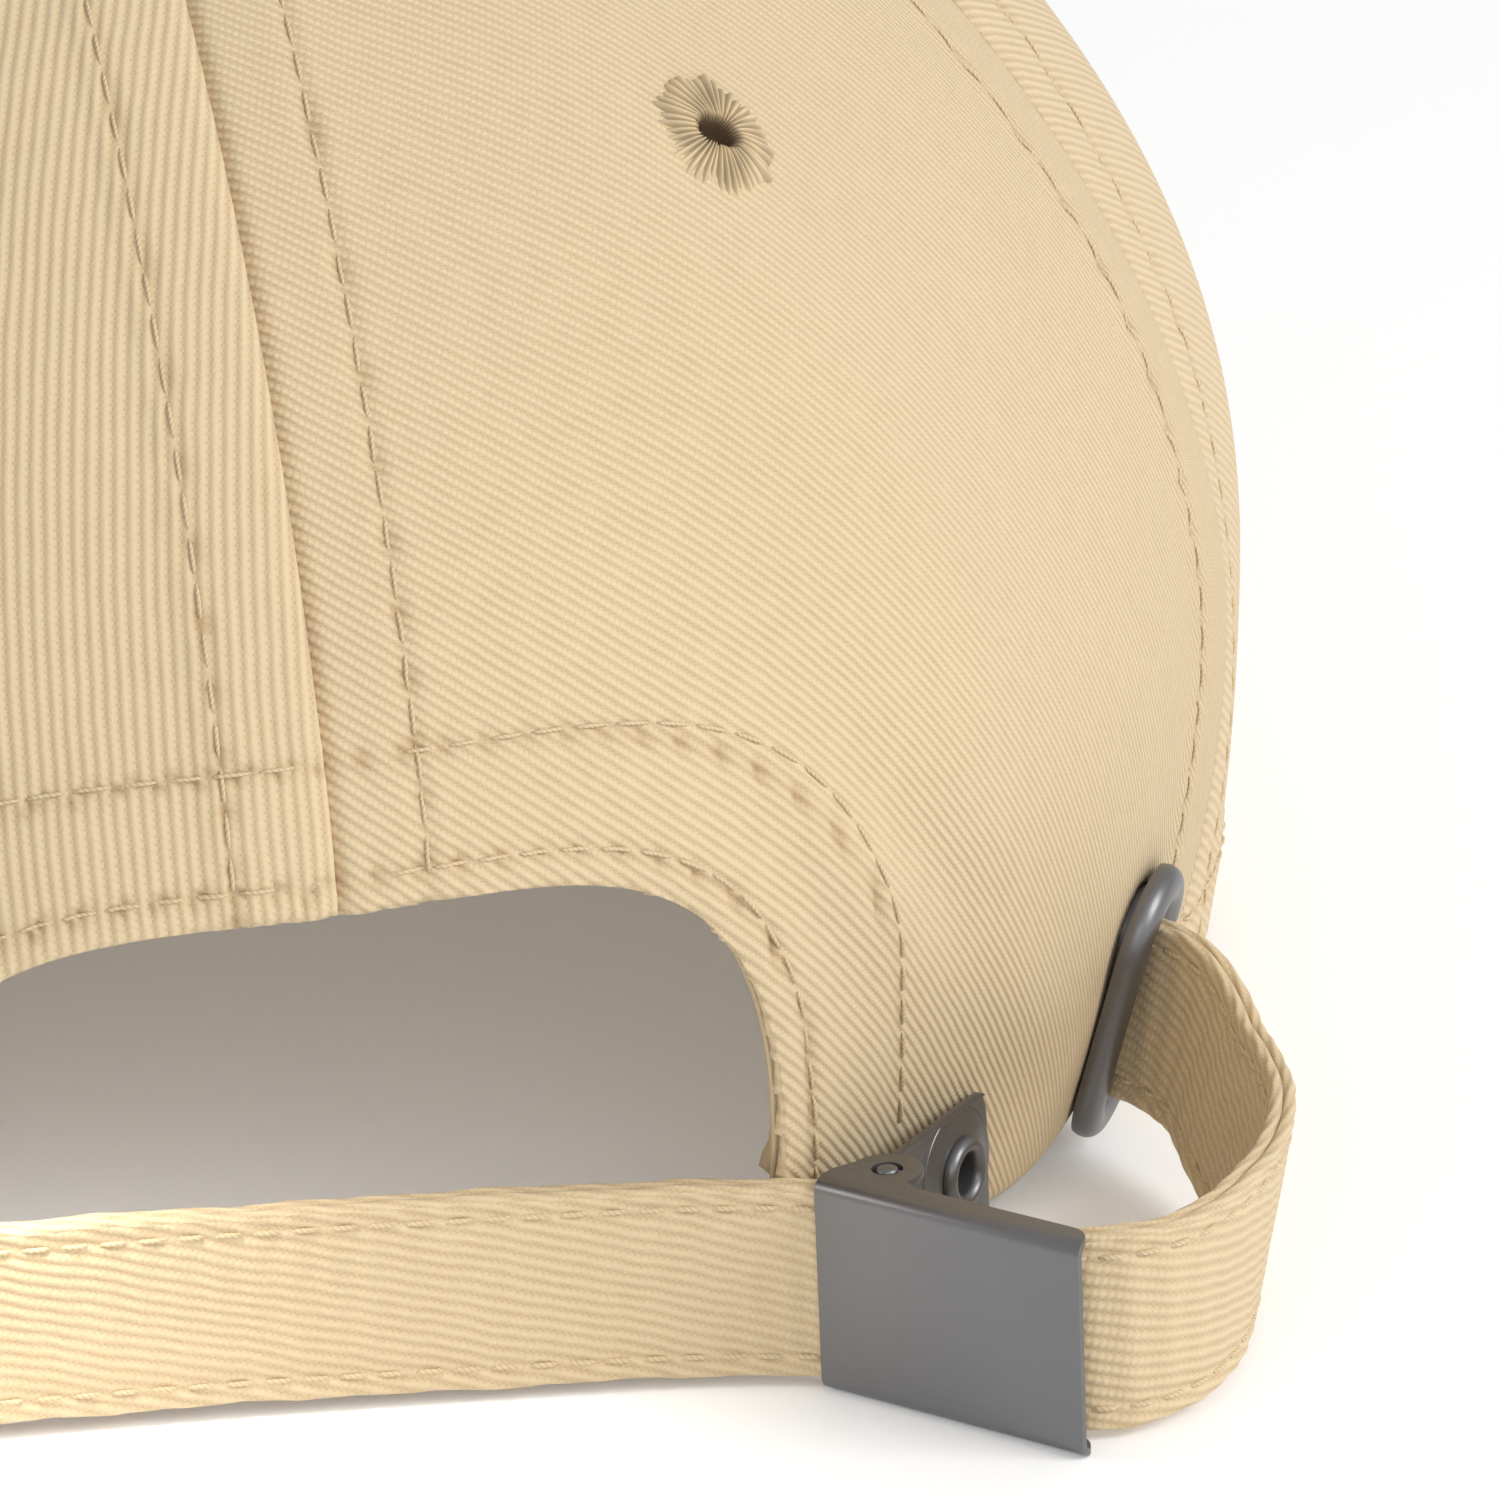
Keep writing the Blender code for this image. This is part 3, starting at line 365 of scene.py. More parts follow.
def twill_group() -> bpy.types.NodeTree:
    """Twill weave: soft wales across U, the yarn's floats stepping along each of them, pinholes between floats.

    With u and v in wales that wander with noise, wale = (1 + cos(2 pi u)) / 2 and yarn = (1 + cos(2 pi step)) / 2,
    where step = 1.7 v + 0.35 u + round(u) / 2. Height = wale^0.8 x (0.72 + 0.28 yarn), and a pinhole lies where
    both are low: ((1 - wale)(1 - yarn))^2.5.
    """
    inputs = {"Cloth": ("Vector", None), "Pitch": ("Float", 1.0 * MM), "Wander": ("Float", 0.35)}
    outputs = {"Height": "Float", "GrooveShade": "Float", "Patch": "Float"}
    tree, g, source, result = new_group("twill_weave", inputs, outputs)
    cloth, pitch, wander = (source.outputs[k] for k in inputs)
    split = g.node("ShaderNodeSeparateXYZ", {0: cloth})
    drift = g.math("SUBTRACT", g.noise(cloth, 170.0, 3.0), 0.5)
    u = g.math("MULTIPLY_ADD", drift, wander, g.math("DIVIDE", split.outputs["X"], pitch))
    v = g.math("MULTIPLY_ADD", g.noise(cloth, 900.0), wander, g.math("DIVIDE", split.outputs["Y"], pitch))
    wale = g.math("MULTIPLY_ADD", g.math("COSINE", g.math("MULTIPLY", u, 2.0 * math.pi)), 0.5, 0.5)
    slant = g.math("MULTIPLY_ADD", u, 0.35, g.math("MULTIPLY", v, 1.7))
    step = g.math("MULTIPLY_ADD", g.math("ROUND", u), 0.5, slant)
    yarn = g.math("MULTIPLY_ADD", g.math("COSINE", g.math("MULTIPLY", step, 2.0 * math.pi)), 0.5, 0.5)
    float_height = g.math("MULTIPLY", g.math("POWER", wale, 0.8), g.math("MULTIPLY_ADD", yarn, 0.28, 0.72))
    fuzz = g.math("MULTIPLY_ADD", g.noise(cloth, 5200.0, 3.0), 0.34, -0.17)
    g.tree.links.new(g.math("ADD", float_height, fuzz), result.inputs["Height"])
    # The GrooveShade output is painted shade: stronger in the valleys between wales, with noise, and strongest at the
    # pinholes.
    valley = g.math("SUBTRACT", 1.0, wale)
    low = g.math("MULTIPLY", valley, g.math("MULTIPLY_ADD", g.noise(cloth, 420.0), 0.8, 0.1))
    pin = g.math("POWER", g.math("MULTIPLY", valley, g.math("SUBTRACT", 1.0, yarn)), 2.5)
    g.tree.links.new(g.math("MULTIPLY_ADD", pin, 0.8, low), result.inputs["GrooveShade"])
    g.tree.links.new(g.noise(cloth, 45.0, 4.0), result.inputs["Patch"])
    return tree


def plain_group() -> bpy.types.NodeTree:
    """Plain weave: height = sin(pi u)^2 on the warp and cos(pi v)^2 on the weft, turn and turn about."""
    inputs = {"Cloth": ("Vector", None), "Pitch": ("Float", 0.6 * MM)}
    tree, g, source, result = new_group("plain_weave", inputs, {"Height": "Float", "Patch": "Float"})
    split = g.node("ShaderNodeSeparateXYZ", {0: source.outputs["Cloth"]})
    waves = [
        g.math("SINE", g.math("MULTIPLY", g.math("DIVIDE", split.outputs[k], source.outputs["Pitch"]), math.pi))
        for k in "XY"
    ]
    weave = g.math("MULTIPLY_ADD", g.math("MULTIPLY", *waves), 0.5, 0.5)
    fuzz = g.math("MULTIPLY", g.noise(source.outputs["Cloth"], 4200.0, 3.0), 0.3)
    g.tree.links.new(g.math("ADD", weave, fuzz), result.inputs["Height"])
    g.tree.links.new(g.noise(source.outputs["Cloth"], 60.0, 4.0), result.inputs["Patch"])
    return tree


def metal_group() -> bpy.types.NodeTree:
    """Plated sheet metal: a fine grain, faint scratches one way and slow patches."""
    outputs = {"Grain": "Float", "Patch": "Float"}
    tree, g, source, result = new_group("satin_plate", {"Place": ("Vector", None)}, outputs)
    stretched = g.node("ShaderNodeMapping", {"Vector": source.outputs[0], "Scale": (1.0, 1.0, 14.0)}).outputs[0]
    scratches = g.math("MULTIPLY", g.noise(stretched, 700.0, 4.0), 0.4)
    grain = g.math("MULTIPLY_ADD", g.noise(source.outputs[0], 6500.0), 0.6, scratches)
    g.tree.links.new(grain, result.inputs["Grain"])
    g.tree.links.new(g.noise(source.outputs[0], 110.0, 5.0), result.inputs["Patch"])
    return tree


@dataclass
class Finishes:
    """All the finishes, each made once."""

    sand: Colour = (0.700, 0.553, 0.342)
    groups: dict = field(default_factory=dict)
    made: dict = field(default_factory=dict)

    def __post_init__(self) -> None:
        """Builds the node groups and the materials."""
        self.groups = {"twill": twill_group(), "plain": plain_group(), "metal": metal_group()}
        shades = {
            "cotton_twill": (1.0, 0.92, 0.35),
            "strap_twill": (0.98, 0.90, 0.30),
            "visor_twill": (1.0, 1.0, 0.30),
        }
        for name, (shade, pitch, wander) in shades.items():
            self.made[name] = self.twill(name, shade, pitch * MM, wander)
        for name, shade, pitch in (("lining_tape", 0.86, 0.7), ("sweatband_cotton", 0.90, 0.55)):
            self.made[name] = self.plain(name, shade, pitch * MM)
        self.made["thread"] = self.thread("thread", 0.97)
        self.made["eyelet_thread"] = self.thread("eyelet_thread", 0.92)
        self.made["gunmetal"] = self.metal("gunmetal", (0.190, 0.190, 0.196), 0.36)
        self.made["rivet_steel"] = self.metal("rivet_steel", (0.55, 0.55, 0.56), 0.28)
        self.made["visor_board"] = self.plastic("visor_board", (0.72, 0.72, 0.70), 0.55)
        self.made["button_plastic"] = self.plastic("button_plastic", (0.74, 0.74, 0.71), 0.42)

    def start(self, name: str) -> tuple[bpy.types.Material, Graph, bpy.types.Node]:
        """New material, a Graph on it and its Principled shader."""
        made = bpy.data.materials.new(name)
        made.use_nodes = True
        return made, Graph(made.node_tree), made.node_tree.nodes["Principled BSDF"]

    def tone(self, shade: float) -> tuple:
        """The sand colour times shade."""
        return (*(min(1.0, c * shade) for c in self.sand), 1.0)

    def twill(self, name: str, shade: float, pitch: float, wander: float) -> bpy.types.Material:
        """Brushed cotton twill on the piece's cloth UV, with painted shade in its valleys and pinholes, needle holes
        and seams.
        """
        made, g, shader = self.start(name)
        cloth = g.node("ShaderNodeUVMap", uv_map="cloth").outputs[0]
        weave = g.group(self.groups["twill"], {"Cloth": cloth, "Pitch": pitch, "Wander": wander})
        patch = g.mix(weave.outputs["Patch"], self.tone(0.965 * shade), self.tone(1.03 * shade))
        # Painted shade: the weave's valleys and pinholes, the needle holes and the seams are mixed towards this
        # deeper sand.
        painted_shade_colour = (0.60 * self.sand[0], 0.50 * self.sand[1], 0.40 * self.sand[2], 1.0)
        hollow_shade = g.node("ShaderNodeAttribute", attribute_name="hollow_shade").outputs["Fac"]
        shadow = g.math("MULTIPLY_ADD", weave.outputs["GrooveShade"], 0.5, g.math("MULTIPLY", hollow_shade, 0.75))
        colour = g.mix(shadow, patch, painted_shade_colour)
        bump = g.node("ShaderNodeBump", {"Strength": 0.7, "Distance": 0.20 * MM, "Height": weave.outputs["Height"]})
        self.dress(g, shader, colour, 0.92, bump.outputs[0])
        shader.inputs["Sheen Weight"].default_value = 0.12
        shader.inputs["Sheen Roughness"].default_value = 0.6
        return made

    def plain(self, name: str, shade: float, pitch: float) -> bpy.types.Material:
        """Plain-weave cotton on the piece's cloth UV, with painted shade in the weave's low points."""
        made, g, shader = self.start(name)
        cloth = g.node("ShaderNodeUVMap", uv_map="cloth").outputs[0]
        weave = g.group(self.groups["plain"], {"Cloth": cloth, "Pitch": pitch})
        patch = g.mix(weave.outputs["Patch"], self.tone(0.94 * shade), self.tone(1.04 * shade))
        # Painted shade: the colour goes deeper where the weave's height is low.
        colour = g.mix(g.math("MULTIPLY", weave.outputs["Height"], 0.35), self.tone(0.74 * shade), patch)
        colour = g.mix(0.65, colour, patch)
        bump = g.node("ShaderNodeBump", {"Strength": 0.6, "Distance": 0.12 * MM, "Height": weave.outputs["Height"]})
        self.dress(g, shader, colour, 0.94, bump.outputs[0])
        return made

    def thread(self, name: str, shade: float) -> bpy.types.Material:
        """Twisted sewing thread on the thread's own UV, with painted shade in the twist's grooves, between eyelet
        threads and in eyelet bores.
        """
        made, g, shader = self.start(name)
        uv = g.node("ShaderNodeUVMap", uv_map="cloth").outputs[0]
        split = g.node("ShaderNodeSeparateXYZ", {0: uv})
        lay = g.math("MULTIPLY_ADD", split.outputs["X"], 1.0, g.math("MULTIPLY", split.outputs["Y"], 0.7))
        twist = g.math("MULTIPLY_ADD", g.math("SINE", g.math("MULTIPLY", lay, 2.0 * math.pi / (0.42 * MM))), 0.5, 0.5)
        # Painted shade in the grooves of the twist.
        colour = g.mix(twist, self.tone(0.80 * shade), self.tone(1.04 * shade))
        # Painted shade: eyelet bores and the gaps between eyelet threads go to this dark brown.
        hollow_shade = g.node("ShaderNodeAttribute", attribute_name="hollow_shade").outputs["Fac"]
        colour = g.mix(g.math("MULTIPLY", hollow_shade, 0.9), colour, (0.10, 0.055, 0.022, 1.0))
        bump = g.node("ShaderNodeBump", {"Strength": 0.5, "Distance": 0.06 * MM, "Height": twist})
        self.dress(g, shader, colour, 0.75, bump.outputs[0])
        return made

    def metal(self, name: str, colour: Colour, roughness: float) -> bpy.types.Material:
        """Satin plated metal on Object coordinates."""
        made, g, shader = self.start(name)
        where = g.node("ShaderNodeTexCoord").outputs["Object"]
        plate = g.group(self.groups["metal"], {"Place": where})
        low, high = (tuple(c * k for c in colour) + (1.0,) for k in (0.90, 1.10))
        rough = g.math("MULTIPLY_ADD", plate.outputs["Patch"], 0.12, roughness - 0.06)
        rough = g.math("MULTIPLY_ADD", plate.outputs["Grain"], 0.08, rough)
        bump = g.node("ShaderNodeBump", {"Strength": 0.12, "Distance": 0.05 * MM, "Height": plate.outputs["Grain"]})
        self.dress(g, shader, g.mix(plate.outputs["Patch"], low, high), rough, bump.outputs[0])
        shader.inputs["Metallic"].default_value = 0.8
        return made

    def plastic(self, name: str, colour: Colour, roughness: float) -> bpy.types.Material:
        """Plain moulded plastic with a faint texture, on Object coordinates."""
        made, g, shader = self.start(name)
        where = g.node("ShaderNodeTexCoord").outputs["Object"]
        speck = g.noise(where, 900.0, 4.0)
        low, high = (tuple(c * k for c in colour) + (1.0,) for k in (0.96, 1.03))
        bump = g.node("ShaderNodeBump", {"Strength": 0.2, "Distance": 0.05 * MM, "Height": speck})
        self.dress(g, shader, g.mix(speck, low, high), roughness, bump.outputs[0])
        return made

    def dress(self, g: Graph, shader: bpy.types.Node, colour: object, roughness: object, normal: object) -> None:
        """Links or sets the shader's main inputs."""
        for key, value in (("Base Color", colour), ("Roughness", roughness), ("Normal", normal)):
            if isinstance(value, bpy.types.NodeSocket):
                g.tree.links.new(value, shader.inputs[key])
            else:
                shader.inputs[key].default_value = value


@dataclass
class Maker:
    """Puts finished pieces on their bodies and keeps count of them."""

    finishes: Finishes
    pieces: list[str] = field(default_factory=list)

    def add(
        self, obj: bpy.types.Object, finish: str, slot: str, nodes: Sequence[str] = (), body: Body = Body.CAP
    ) -> bpy.types.Object:
        """Dresses a piece, rides it on its body, and hides the CAD nodes that it stands for."""
        obj.data.materials.clear()
        obj.data.materials.append(self.finishes.made[finish])
        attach(obj, body.value)
        if nodes:
            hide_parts(*nodes)
        self.pieces.append(obj.name)
        LOG.info("%s: %d faces", obj.name, len(obj.data.polygons))
        return obj

    def keep(self, node: str, finish: str) -> None:
        """A CAD node that stays gets a finish."""
        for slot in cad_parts[node].material_slots:
            slot.material = self.finishes.made[finish]


# --- crown ---------------------------------------------------------------------------------


@dataclass(frozen=True)
class CrownShape:
    """The crown's outer face: an elliptic shell, a superellipse up its meridian, pulled in at the buckle."""

    half_length: float = 100.5 * MM
    half_width: float = 91.0 * MM
    rear_hem: float = 2.4 * MM
    widest: float = 35.0 * MM
    apex: float = 118.8 * MM
    back_roundness: float = 1.97
    front_roundness: float = 1.92
    hem_tuck: float = 0.04
    apex_hole: float = 0.036
    wall: float = 0.2
    cloth: float = 0.9 * MM
    pulls: tuple = ((53.2, 12.0, 0.056, 42.8 * MM), (30.0, 9.5, 0.056, 34.0 * MM))
    arch_half_width: float = 32.9 * MM
    arch_height: float = 41.1 * MM
    arch_squareness: float = 3.9
    visor_half_degrees: float = 62.0
    visor_bend: float = 150.0 * MM
    visor_centre: float = 25.7 * MM
    visor_fall: float = 0.09
    visor_seat: float = 1.6 * MM

    def visor_z(self, x: Array, y: Array, lift: Array = 0.0) -> Array:
        """Height of the visor's middle layer, or of one lift above it: bent about Y, falling to the front."""
        bend = np.sqrt((self.visor_bend + lift) ** 2 - x**2) - self.visor_bend
        return self.visor_centre + bend - self.visor_fall * np.maximum(0.0, -y - self.half_length * 0.95)

    def hem(self, phi: Array) -> Array:
        """Hem height: level at the back, following the visor's bend at the front."""
        from_front = np.abs(np.asarray(phi) % (2.0 * math.pi) - math.pi)
        side = math.radians(self.visor_half_degrees)
        x = self.half_width * (1.0 - self.hem_tuck) * np.sin(np.minimum(from_front, side))
        front = self.visor_z(x, 0.0 * x) - self.visor_seat
        turn = smooth((from_front - side) / math.radians(60.0))
        return front * (1.0 - turn) + self.rear_hem * turn

    def meridian(self, phi: Array) -> tuple[Array, Array]:
        """Superellipse exponent at phi, and the turn at which it reaches the apex hole."""
        frontness = ((1.0 - np.cos(phi)) / 2.0) ** 2
        roundness = self.back_roundness + (self.front_roundness - self.back_roundness) * frontness
        return roundness, np.arccos(self.apex_hole ** (roundness / 2.0))

    def share_at(self, phi: Array, z: Array) -> Array:
        """Meridian parameter of the crown at height z."""
        roundness, last = self.meridian(phi)
        hem = self.hem(phi)
        wall = self.wall * (z - hem) / (self.widest - hem)
        above = np.clip((z - self.widest) / (self.apex - self.widest), 0.0, 1.0)
        dome = self.wall + (1.0 - self.wall) * np.arcsin(above ** (roundness / 2.0)) / last
        return np.where(z < self.widest, wall, dome)

    def outer(self, phi: Array, share: Array) -> Array:
        """Point on the outer face: x = -W r sin phi, y = L r cos phi, r and z from the meridian at share."""
        roundness, last = self.meridian(phi)
        turn = np.clip((share - self.wall) / (1.0 - self.wall), 0.0, 1.0) * last
        hem = self.hem(phi)
        z = hem + (self.widest - hem) * np.minimum(share / self.wall, 1.0)
        z = z + (self.apex - self.widest) * np.sin(turn) ** (2.0 / roundness)
        radius = np.cos(turn) ** (2.0 / roundness)
        below = np.clip((self.widest - z) / (self.widest - self.rear_hem), 0.0, 1.2)
        radius = radius * (1.0 - self.hem_tuck * below**2)
        for degrees, spread, depth, height in self.pulls:
            fade = np.clip(1.0 - (z - self.rear_hem) / height, 0.0, 1.0) ** 1.5
            off = (phi - math.radians(degrees)) / math.radians(spread)
            radius = radius * (1.0 - depth * np.exp(-(off**2)) * fade)
        return np.stack([-self.half_width * radius * np.sin(phi), self.half_length * radius * np.cos(phi), z], -1)

    def normal(self, phi: Array, share: Array) -> Array:
        """Outward unit normal, the cross product of central differences along and up the face."""
        step = 1e-3
        along = self.outer(phi + step, share) - self.outer(phi - step, share)
        up = self.outer(phi, np.minimum(share + step, 1.0)) - self.outer(phi, np.maximum(share - step, 0.0))
        found = np.cross(along, up)
        return found / np.linalg.norm(found, axis=-1, keepdims=True)

    def point(self, phi: Array, share: Array, inward: Array = 0.0) -> Array:
        """Point moved inward of the outer face along its normal."""
        phi, share = np.broadcast_arrays(np.asarray(phi, float), np.asarray(share, float))
        return self.outer(phi, share) - self.normal(phi, share) * np.asarray(inward)[..., None]

    def phi_at(self, x: Array, z: Array) -> Array:
        """Angle of the rear wall's point at sideways position x and height z, by halving."""
        x, z = np.broadcast_arrays(np.asarray(x, float), np.asarray(z, float))
        low, high = np.full(x.shape, -math.pi / 2.0), np.full(x.shape, math.pi / 2.0)
        for _ in range(34):
            phi = (low + high) / 2.0
            right = self.outer(phi, self.share_at(phi, z))[..., 0] > x
            low, high = np.where(right, phi, low), np.where(right, high, phi)
        return (low + high) / 2.0

    def axes(self, phi: float, z: float) -> Matrix:
        """Frame on the outer face: X across, Y up the wall, Z outwards."""
        share = self.share_at(phi, z)
        origin = Vector(self.outer(phi, share))
        outward = Vector(self.normal(phi, share))
        up = Vector(self.outer(phi, share + 0.01)) - origin
        up = (up - outward * up.dot(outward)).normalized()
        axes = Matrix((up.cross(outward), up, outward)).transposed().to_4x4()
        return Matrix.Translation(origin) @ axes

    def arch(self, grow: float, steps: int) -> tuple[Array, Array]:
        """Points (x, z) of the back arch grown outwards, a superellipse from its foot at +X to that at -X."""
        turn = np.linspace(0.0, math.pi, steps + 1)
        power = 2.0 / self.arch_squareness
        x = (self.arch_half_width + grow) * np.sign(np.cos(turn)) * np.abs(np.cos(turn)) ** power
        return x, self.rear_hem + (self.arch_height + grow) * np.abs(np.sin(turn)) ** power


PANELS = ("back_right", "side_right", "front_right", "front_left", "side_left", "back_left")
EYELET_HEIGHT = 85.5 * MM
EYELET_HOLE = 1.9 * MM
GROMMET = (50.5, 12.6 * MM)  # degrees round the crown, and height
GROMMET_SLOT = (17.2 * MM, 6.0 * MM)


@dataclass
class Cut:
    """A hole: its signed function of a point, negative inside."""

    depth: Callable[[Array], Array]


@dataclass
class Crown:
    """Six panels with their seams, hems, topstitching, eyelets, tapes, facing and sweatband."""

    shape: CrownShape
    maker: Maker
    buckle_rivet: Matrix
    stitching: Stitching = field(default_factory=Stitching)
    seam_lap: float = 0.35 * MM  # the folded edge lies over its neighbour by this
    row_out: float = 7.4 * MM  # topstitching from the seam
    hem_rows: tuple[float, float] = (2.4 * MM, 10.2 * MM)
    wale_degrees: tuple[float, ...] = (50.0, 60.0, 8.0, -8.0, -30.0, 6.0)
    wale_bend: float = 8.0  # per metre, the back right panel's wales steepen towards the side
    bend_from: float = 20.0 * MM
    wale_scale: tuple[float, ...] = (1.14, 1.10, 1.0, 1.0, 1.0, 0.93)

    def seam_phi(self, index: int, offset: float, share: Array) -> Array:
        """Angle at a signed distance from a seam, the distance divided by the crown's radius there."""
        phi = math.radians(60.0 * index)
        radius = np.hypot(*np.moveaxis(self.shape.outer(phi, share)[..., :2], -1, 0))
        return phi + offset / radius

    def edge_line(self) -> Array:
        """Points along the back arch's edge and on along the rear hem on both sides."""
        x, z = self.shape.arch(0.0, 240)
        phi = self.shape.phi_at(x, z)
        arch = self.shape.outer(phi, self.shape.share_at(phi, z))
        angles = np.radians(np.linspace(21.5, 110.0, 260))
        hem = [self.shape.outer(side * angles, 0.0 * angles) for side in (1.0, -1.0)]
        return np.concatenate([hem[1][::-1], arch, hem[0]])

    def hole(self, axes: Matrix, radius: float, half_slot: float = 0.0) -> Cut:
        """Round hole, or a slot with round ends along the frame's Y, through the panel."""
        inverse = np.array(axes.inverted())

        def depth(points: Array) -> Array:
            """Distance outside the hole's wall."""
            local = points @ inverse[:3, :3].T + inverse[:3, 3]
            y = np.maximum(np.abs(local[..., 1]) - half_slot, 0.0)
            far = np.where(np.abs(local[..., 2]) > 12.0 * MM, 1.0, 0.0)
            return np.hypot(local[..., 0], y) - radius + far

        return Cut(depth)

    def arch_cut(self) -> Cut:
        """The back arch, a superellipse in x and z: |x / W|^n + |z / H|^n - 1."""
        shape = self.shape

        def depth(points: Array) -> Array:
            """Signed share outside the arch, scaled to a length."""
            x = np.abs(points[..., 0]) / shape.arch_half_width
            z = np.maximum(points[..., 2] - shape.rear_hem, 0.0) / shape.arch_height
            value = (x**shape.arch_squareness + z**shape.arch_squareness) ** (1.0 / shape.arch_squareness) - 1.0
            return np.where(points[..., 1] > 0.0, value * shape.arch_half_width, 1.0)

        return Cut(depth)

    def relief(self, index: int, phi: Array, points: Array) -> tuple[Array, Array]:
        """Height of the cloth over the plain face: seam allowances, stitch rows with puckers, hems, slow waves.

        Args:
            index: The panel.
            phi: Angles of the points.
            points: The points on the plain face.

        Returns:
            Heights in metres, and the painted shade of each point, 0 to 1, strongest in needle holes and along the
            seam.
        """
        radius = np.maximum(np.hypot(points[..., 0], points[..., 1]), 4.0 * MM)
        run = points[..., 2] + 0.6 * radius
        height, hollow_shade = np.zeros(phi.shape), np.zeros(phi.shape)
        rng = np.random.default_rng(40 + index)
        for edge in (0, 1):
            away = np.abs(phi - math.radians(60.0 * (index + edge))) * radius
            on_top = 0.30 * MM if edge == 1 else 0.05 * MM
            height += on_top * (1.0 - smooth((away - 7.9 * MM) / (1.6 * MM)))
            height -= (0.30 if edge == 1 else 0.62) * MM * bell(away, (0.5 if edge == 1 else 0.8) * MM)
            # Painted shadow along the seam where the neighbouring panel's folded edge lies over this one, patchy
            # along its run.
            patchy = 0.62 + 0.38 * np.sin(run / (3.1 * MM) + 2.0 * np.sin(run / (9.0 * MM)))
            hollow_shade += (0.0 if edge == 1 else 0.85) * bell(away, 0.75 * MM) * patchy
            row, deep = self.stitch_relief(away - self.row_out, run, rng)
            height, hollow_shade = height + row, hollow_shade + deep
        if index in (0, 5):
            edge = self.edge_line()
            flat = points.reshape(-1, 3)
            near = np.full(len(flat), 1.0)
            low = flat[:, 2] < 75.0 * MM
            chunk = flat[low]
            parts = np.array_split(chunk[:, ::2], 40)
            found = [np.sqrt(((c[:, None] - edge[None, :, ::2]) ** 2).sum(-1)).min(1) for c in parts]
            near[low] = np.concatenate(found)
            near = near.reshape(phi.shape)
            turned = np.abs((phi + math.pi) % (2.0 * math.pi) - math.pi)
            rows = 1.0 - smooth((turned - math.radians(26.5)) / math.radians(2.5))
        else:
            near, rows = points[..., 2] - self.shape.hem(phi), 1.0
        height += 0.28 * MM * rows * (1.0 - smooth((near - 10.6 * MM) / (1.6 * MM)))
        height -= 0.45 * MM * bell(near, 0.7 * MM)
        along = phi * radius
        for row_at in self.hem_rows:
            row, deep = self.stitch_relief(near - row_at, along, rng)
            height, hollow_shade = height + rows * row, hollow_shade + rows * deep
        return height + self.waves(index, phi * 0.09, points[..., 2]), np.clip(hollow_shade, 0.0, 1.0)

    def stitch_relief(self, away: Array, run: Array, rng: np.random.Generator) -> tuple[Array, Array]:
        """Groove along a stitch row, deeper at the needle holes, with soft puckers to either side, and the painted
        shade at the holes.
        """
        phase = rng.uniform(0.0, 6.28)
        slow = 0.5 + 0.5 * np.sin(run / (5.3 * MM) + 1.7 * np.sin(run / (17.0 * MM) + phase))
        beat = (0.5 + 0.5 * np.cos(2.0 * math.pi * run / self.stitching.pitch + phase)) ** 4
        groove = -0.20 * MM * bell(away, 0.6 * MM) - 0.30 * MM * bell(away, 0.75 * MM) * beat
        pucker = 0.10 * MM * (0.5 - beat) * bell(away, 2.0 * MM)
        tuck = 0.24 * MM * (slow - 0.5) * bell(away, 4.2 * MM)
        # deep is painted shade, strongest at each needle hole.
        deep = bell(away, 0.55 * MM) * (0.16 + 0.84 * beat * (0.35 + 0.65 * slow))
        return groove + pucker * (0.4 + 0.6 * slow) + tuck, deep

    def waves(self, index: int, across: Array, z: Array) -> Array:
        """Slow unevenness of soft cloth: a few crossed sines, and folds at the arch."""
        rng = np.random.default_rng(index)
        height = np.zeros(across.shape)
        for _ in range(5):
            kx, kz = rng.uniform(60.0, 190.0), rng.uniform(20.0, 90.0)
            height += 0.13 * MM * np.sin(kx * across + kz * z + rng.uniform(0.0, 6.28))
        if index == 0:
            phi = np.degrees(across / 0.09)
            lean = (phi - 25.5) + (z - 37.0 * MM) / MM * 0.35
            height += 0.9 * MM * bell(lean, 2.2) * bell(z - 37.0 * MM, 10.0 * MM)
            height -= 0.7 * MM * bell(lean - 4.4, 2.4) * bell(z - 36.0 * MM, 9.0 * MM)
            height += 0.5 * MM * bell(phi - 38.0 + (z - 20.0 * MM) / MM * 0.5, 3.5) * bell(z - 22.0 * MM, 9.0 * MM)
        return height

    def cloth_uv(self, index: int, phi: Array, share: Array) -> Array:
        """Flat cloth coordinates: distance from the panel's middle line, and run up it, turned by the wale angle."""
        middle = math.radians(60.0 * index + 30.0)
        shares = np.linspace(0.0, 1.0, 400)
        line = self.shape.outer(np.full(400, middle), shares)
        run = run_along(line)
        radius = np.hypot(line[:, 0], line[:, 1])
        u = (phi - middle) * np.interp(share, shares, radius)
        v = np.interp(share, shares, run)
        turn = math.radians(self.wale_degrees[index])
        bend = self.wale_bend * np.maximum(u + self.bend_from, 0.0) ** 2 if index == 0 else 0.0
        across = u * math.cos(turn) + v * math.sin(turn) + bend
        uv = np.stack([across, v * math.cos(turn) - u * math.sin(turn)], -1)
        return uv * self.wale_scale[index]

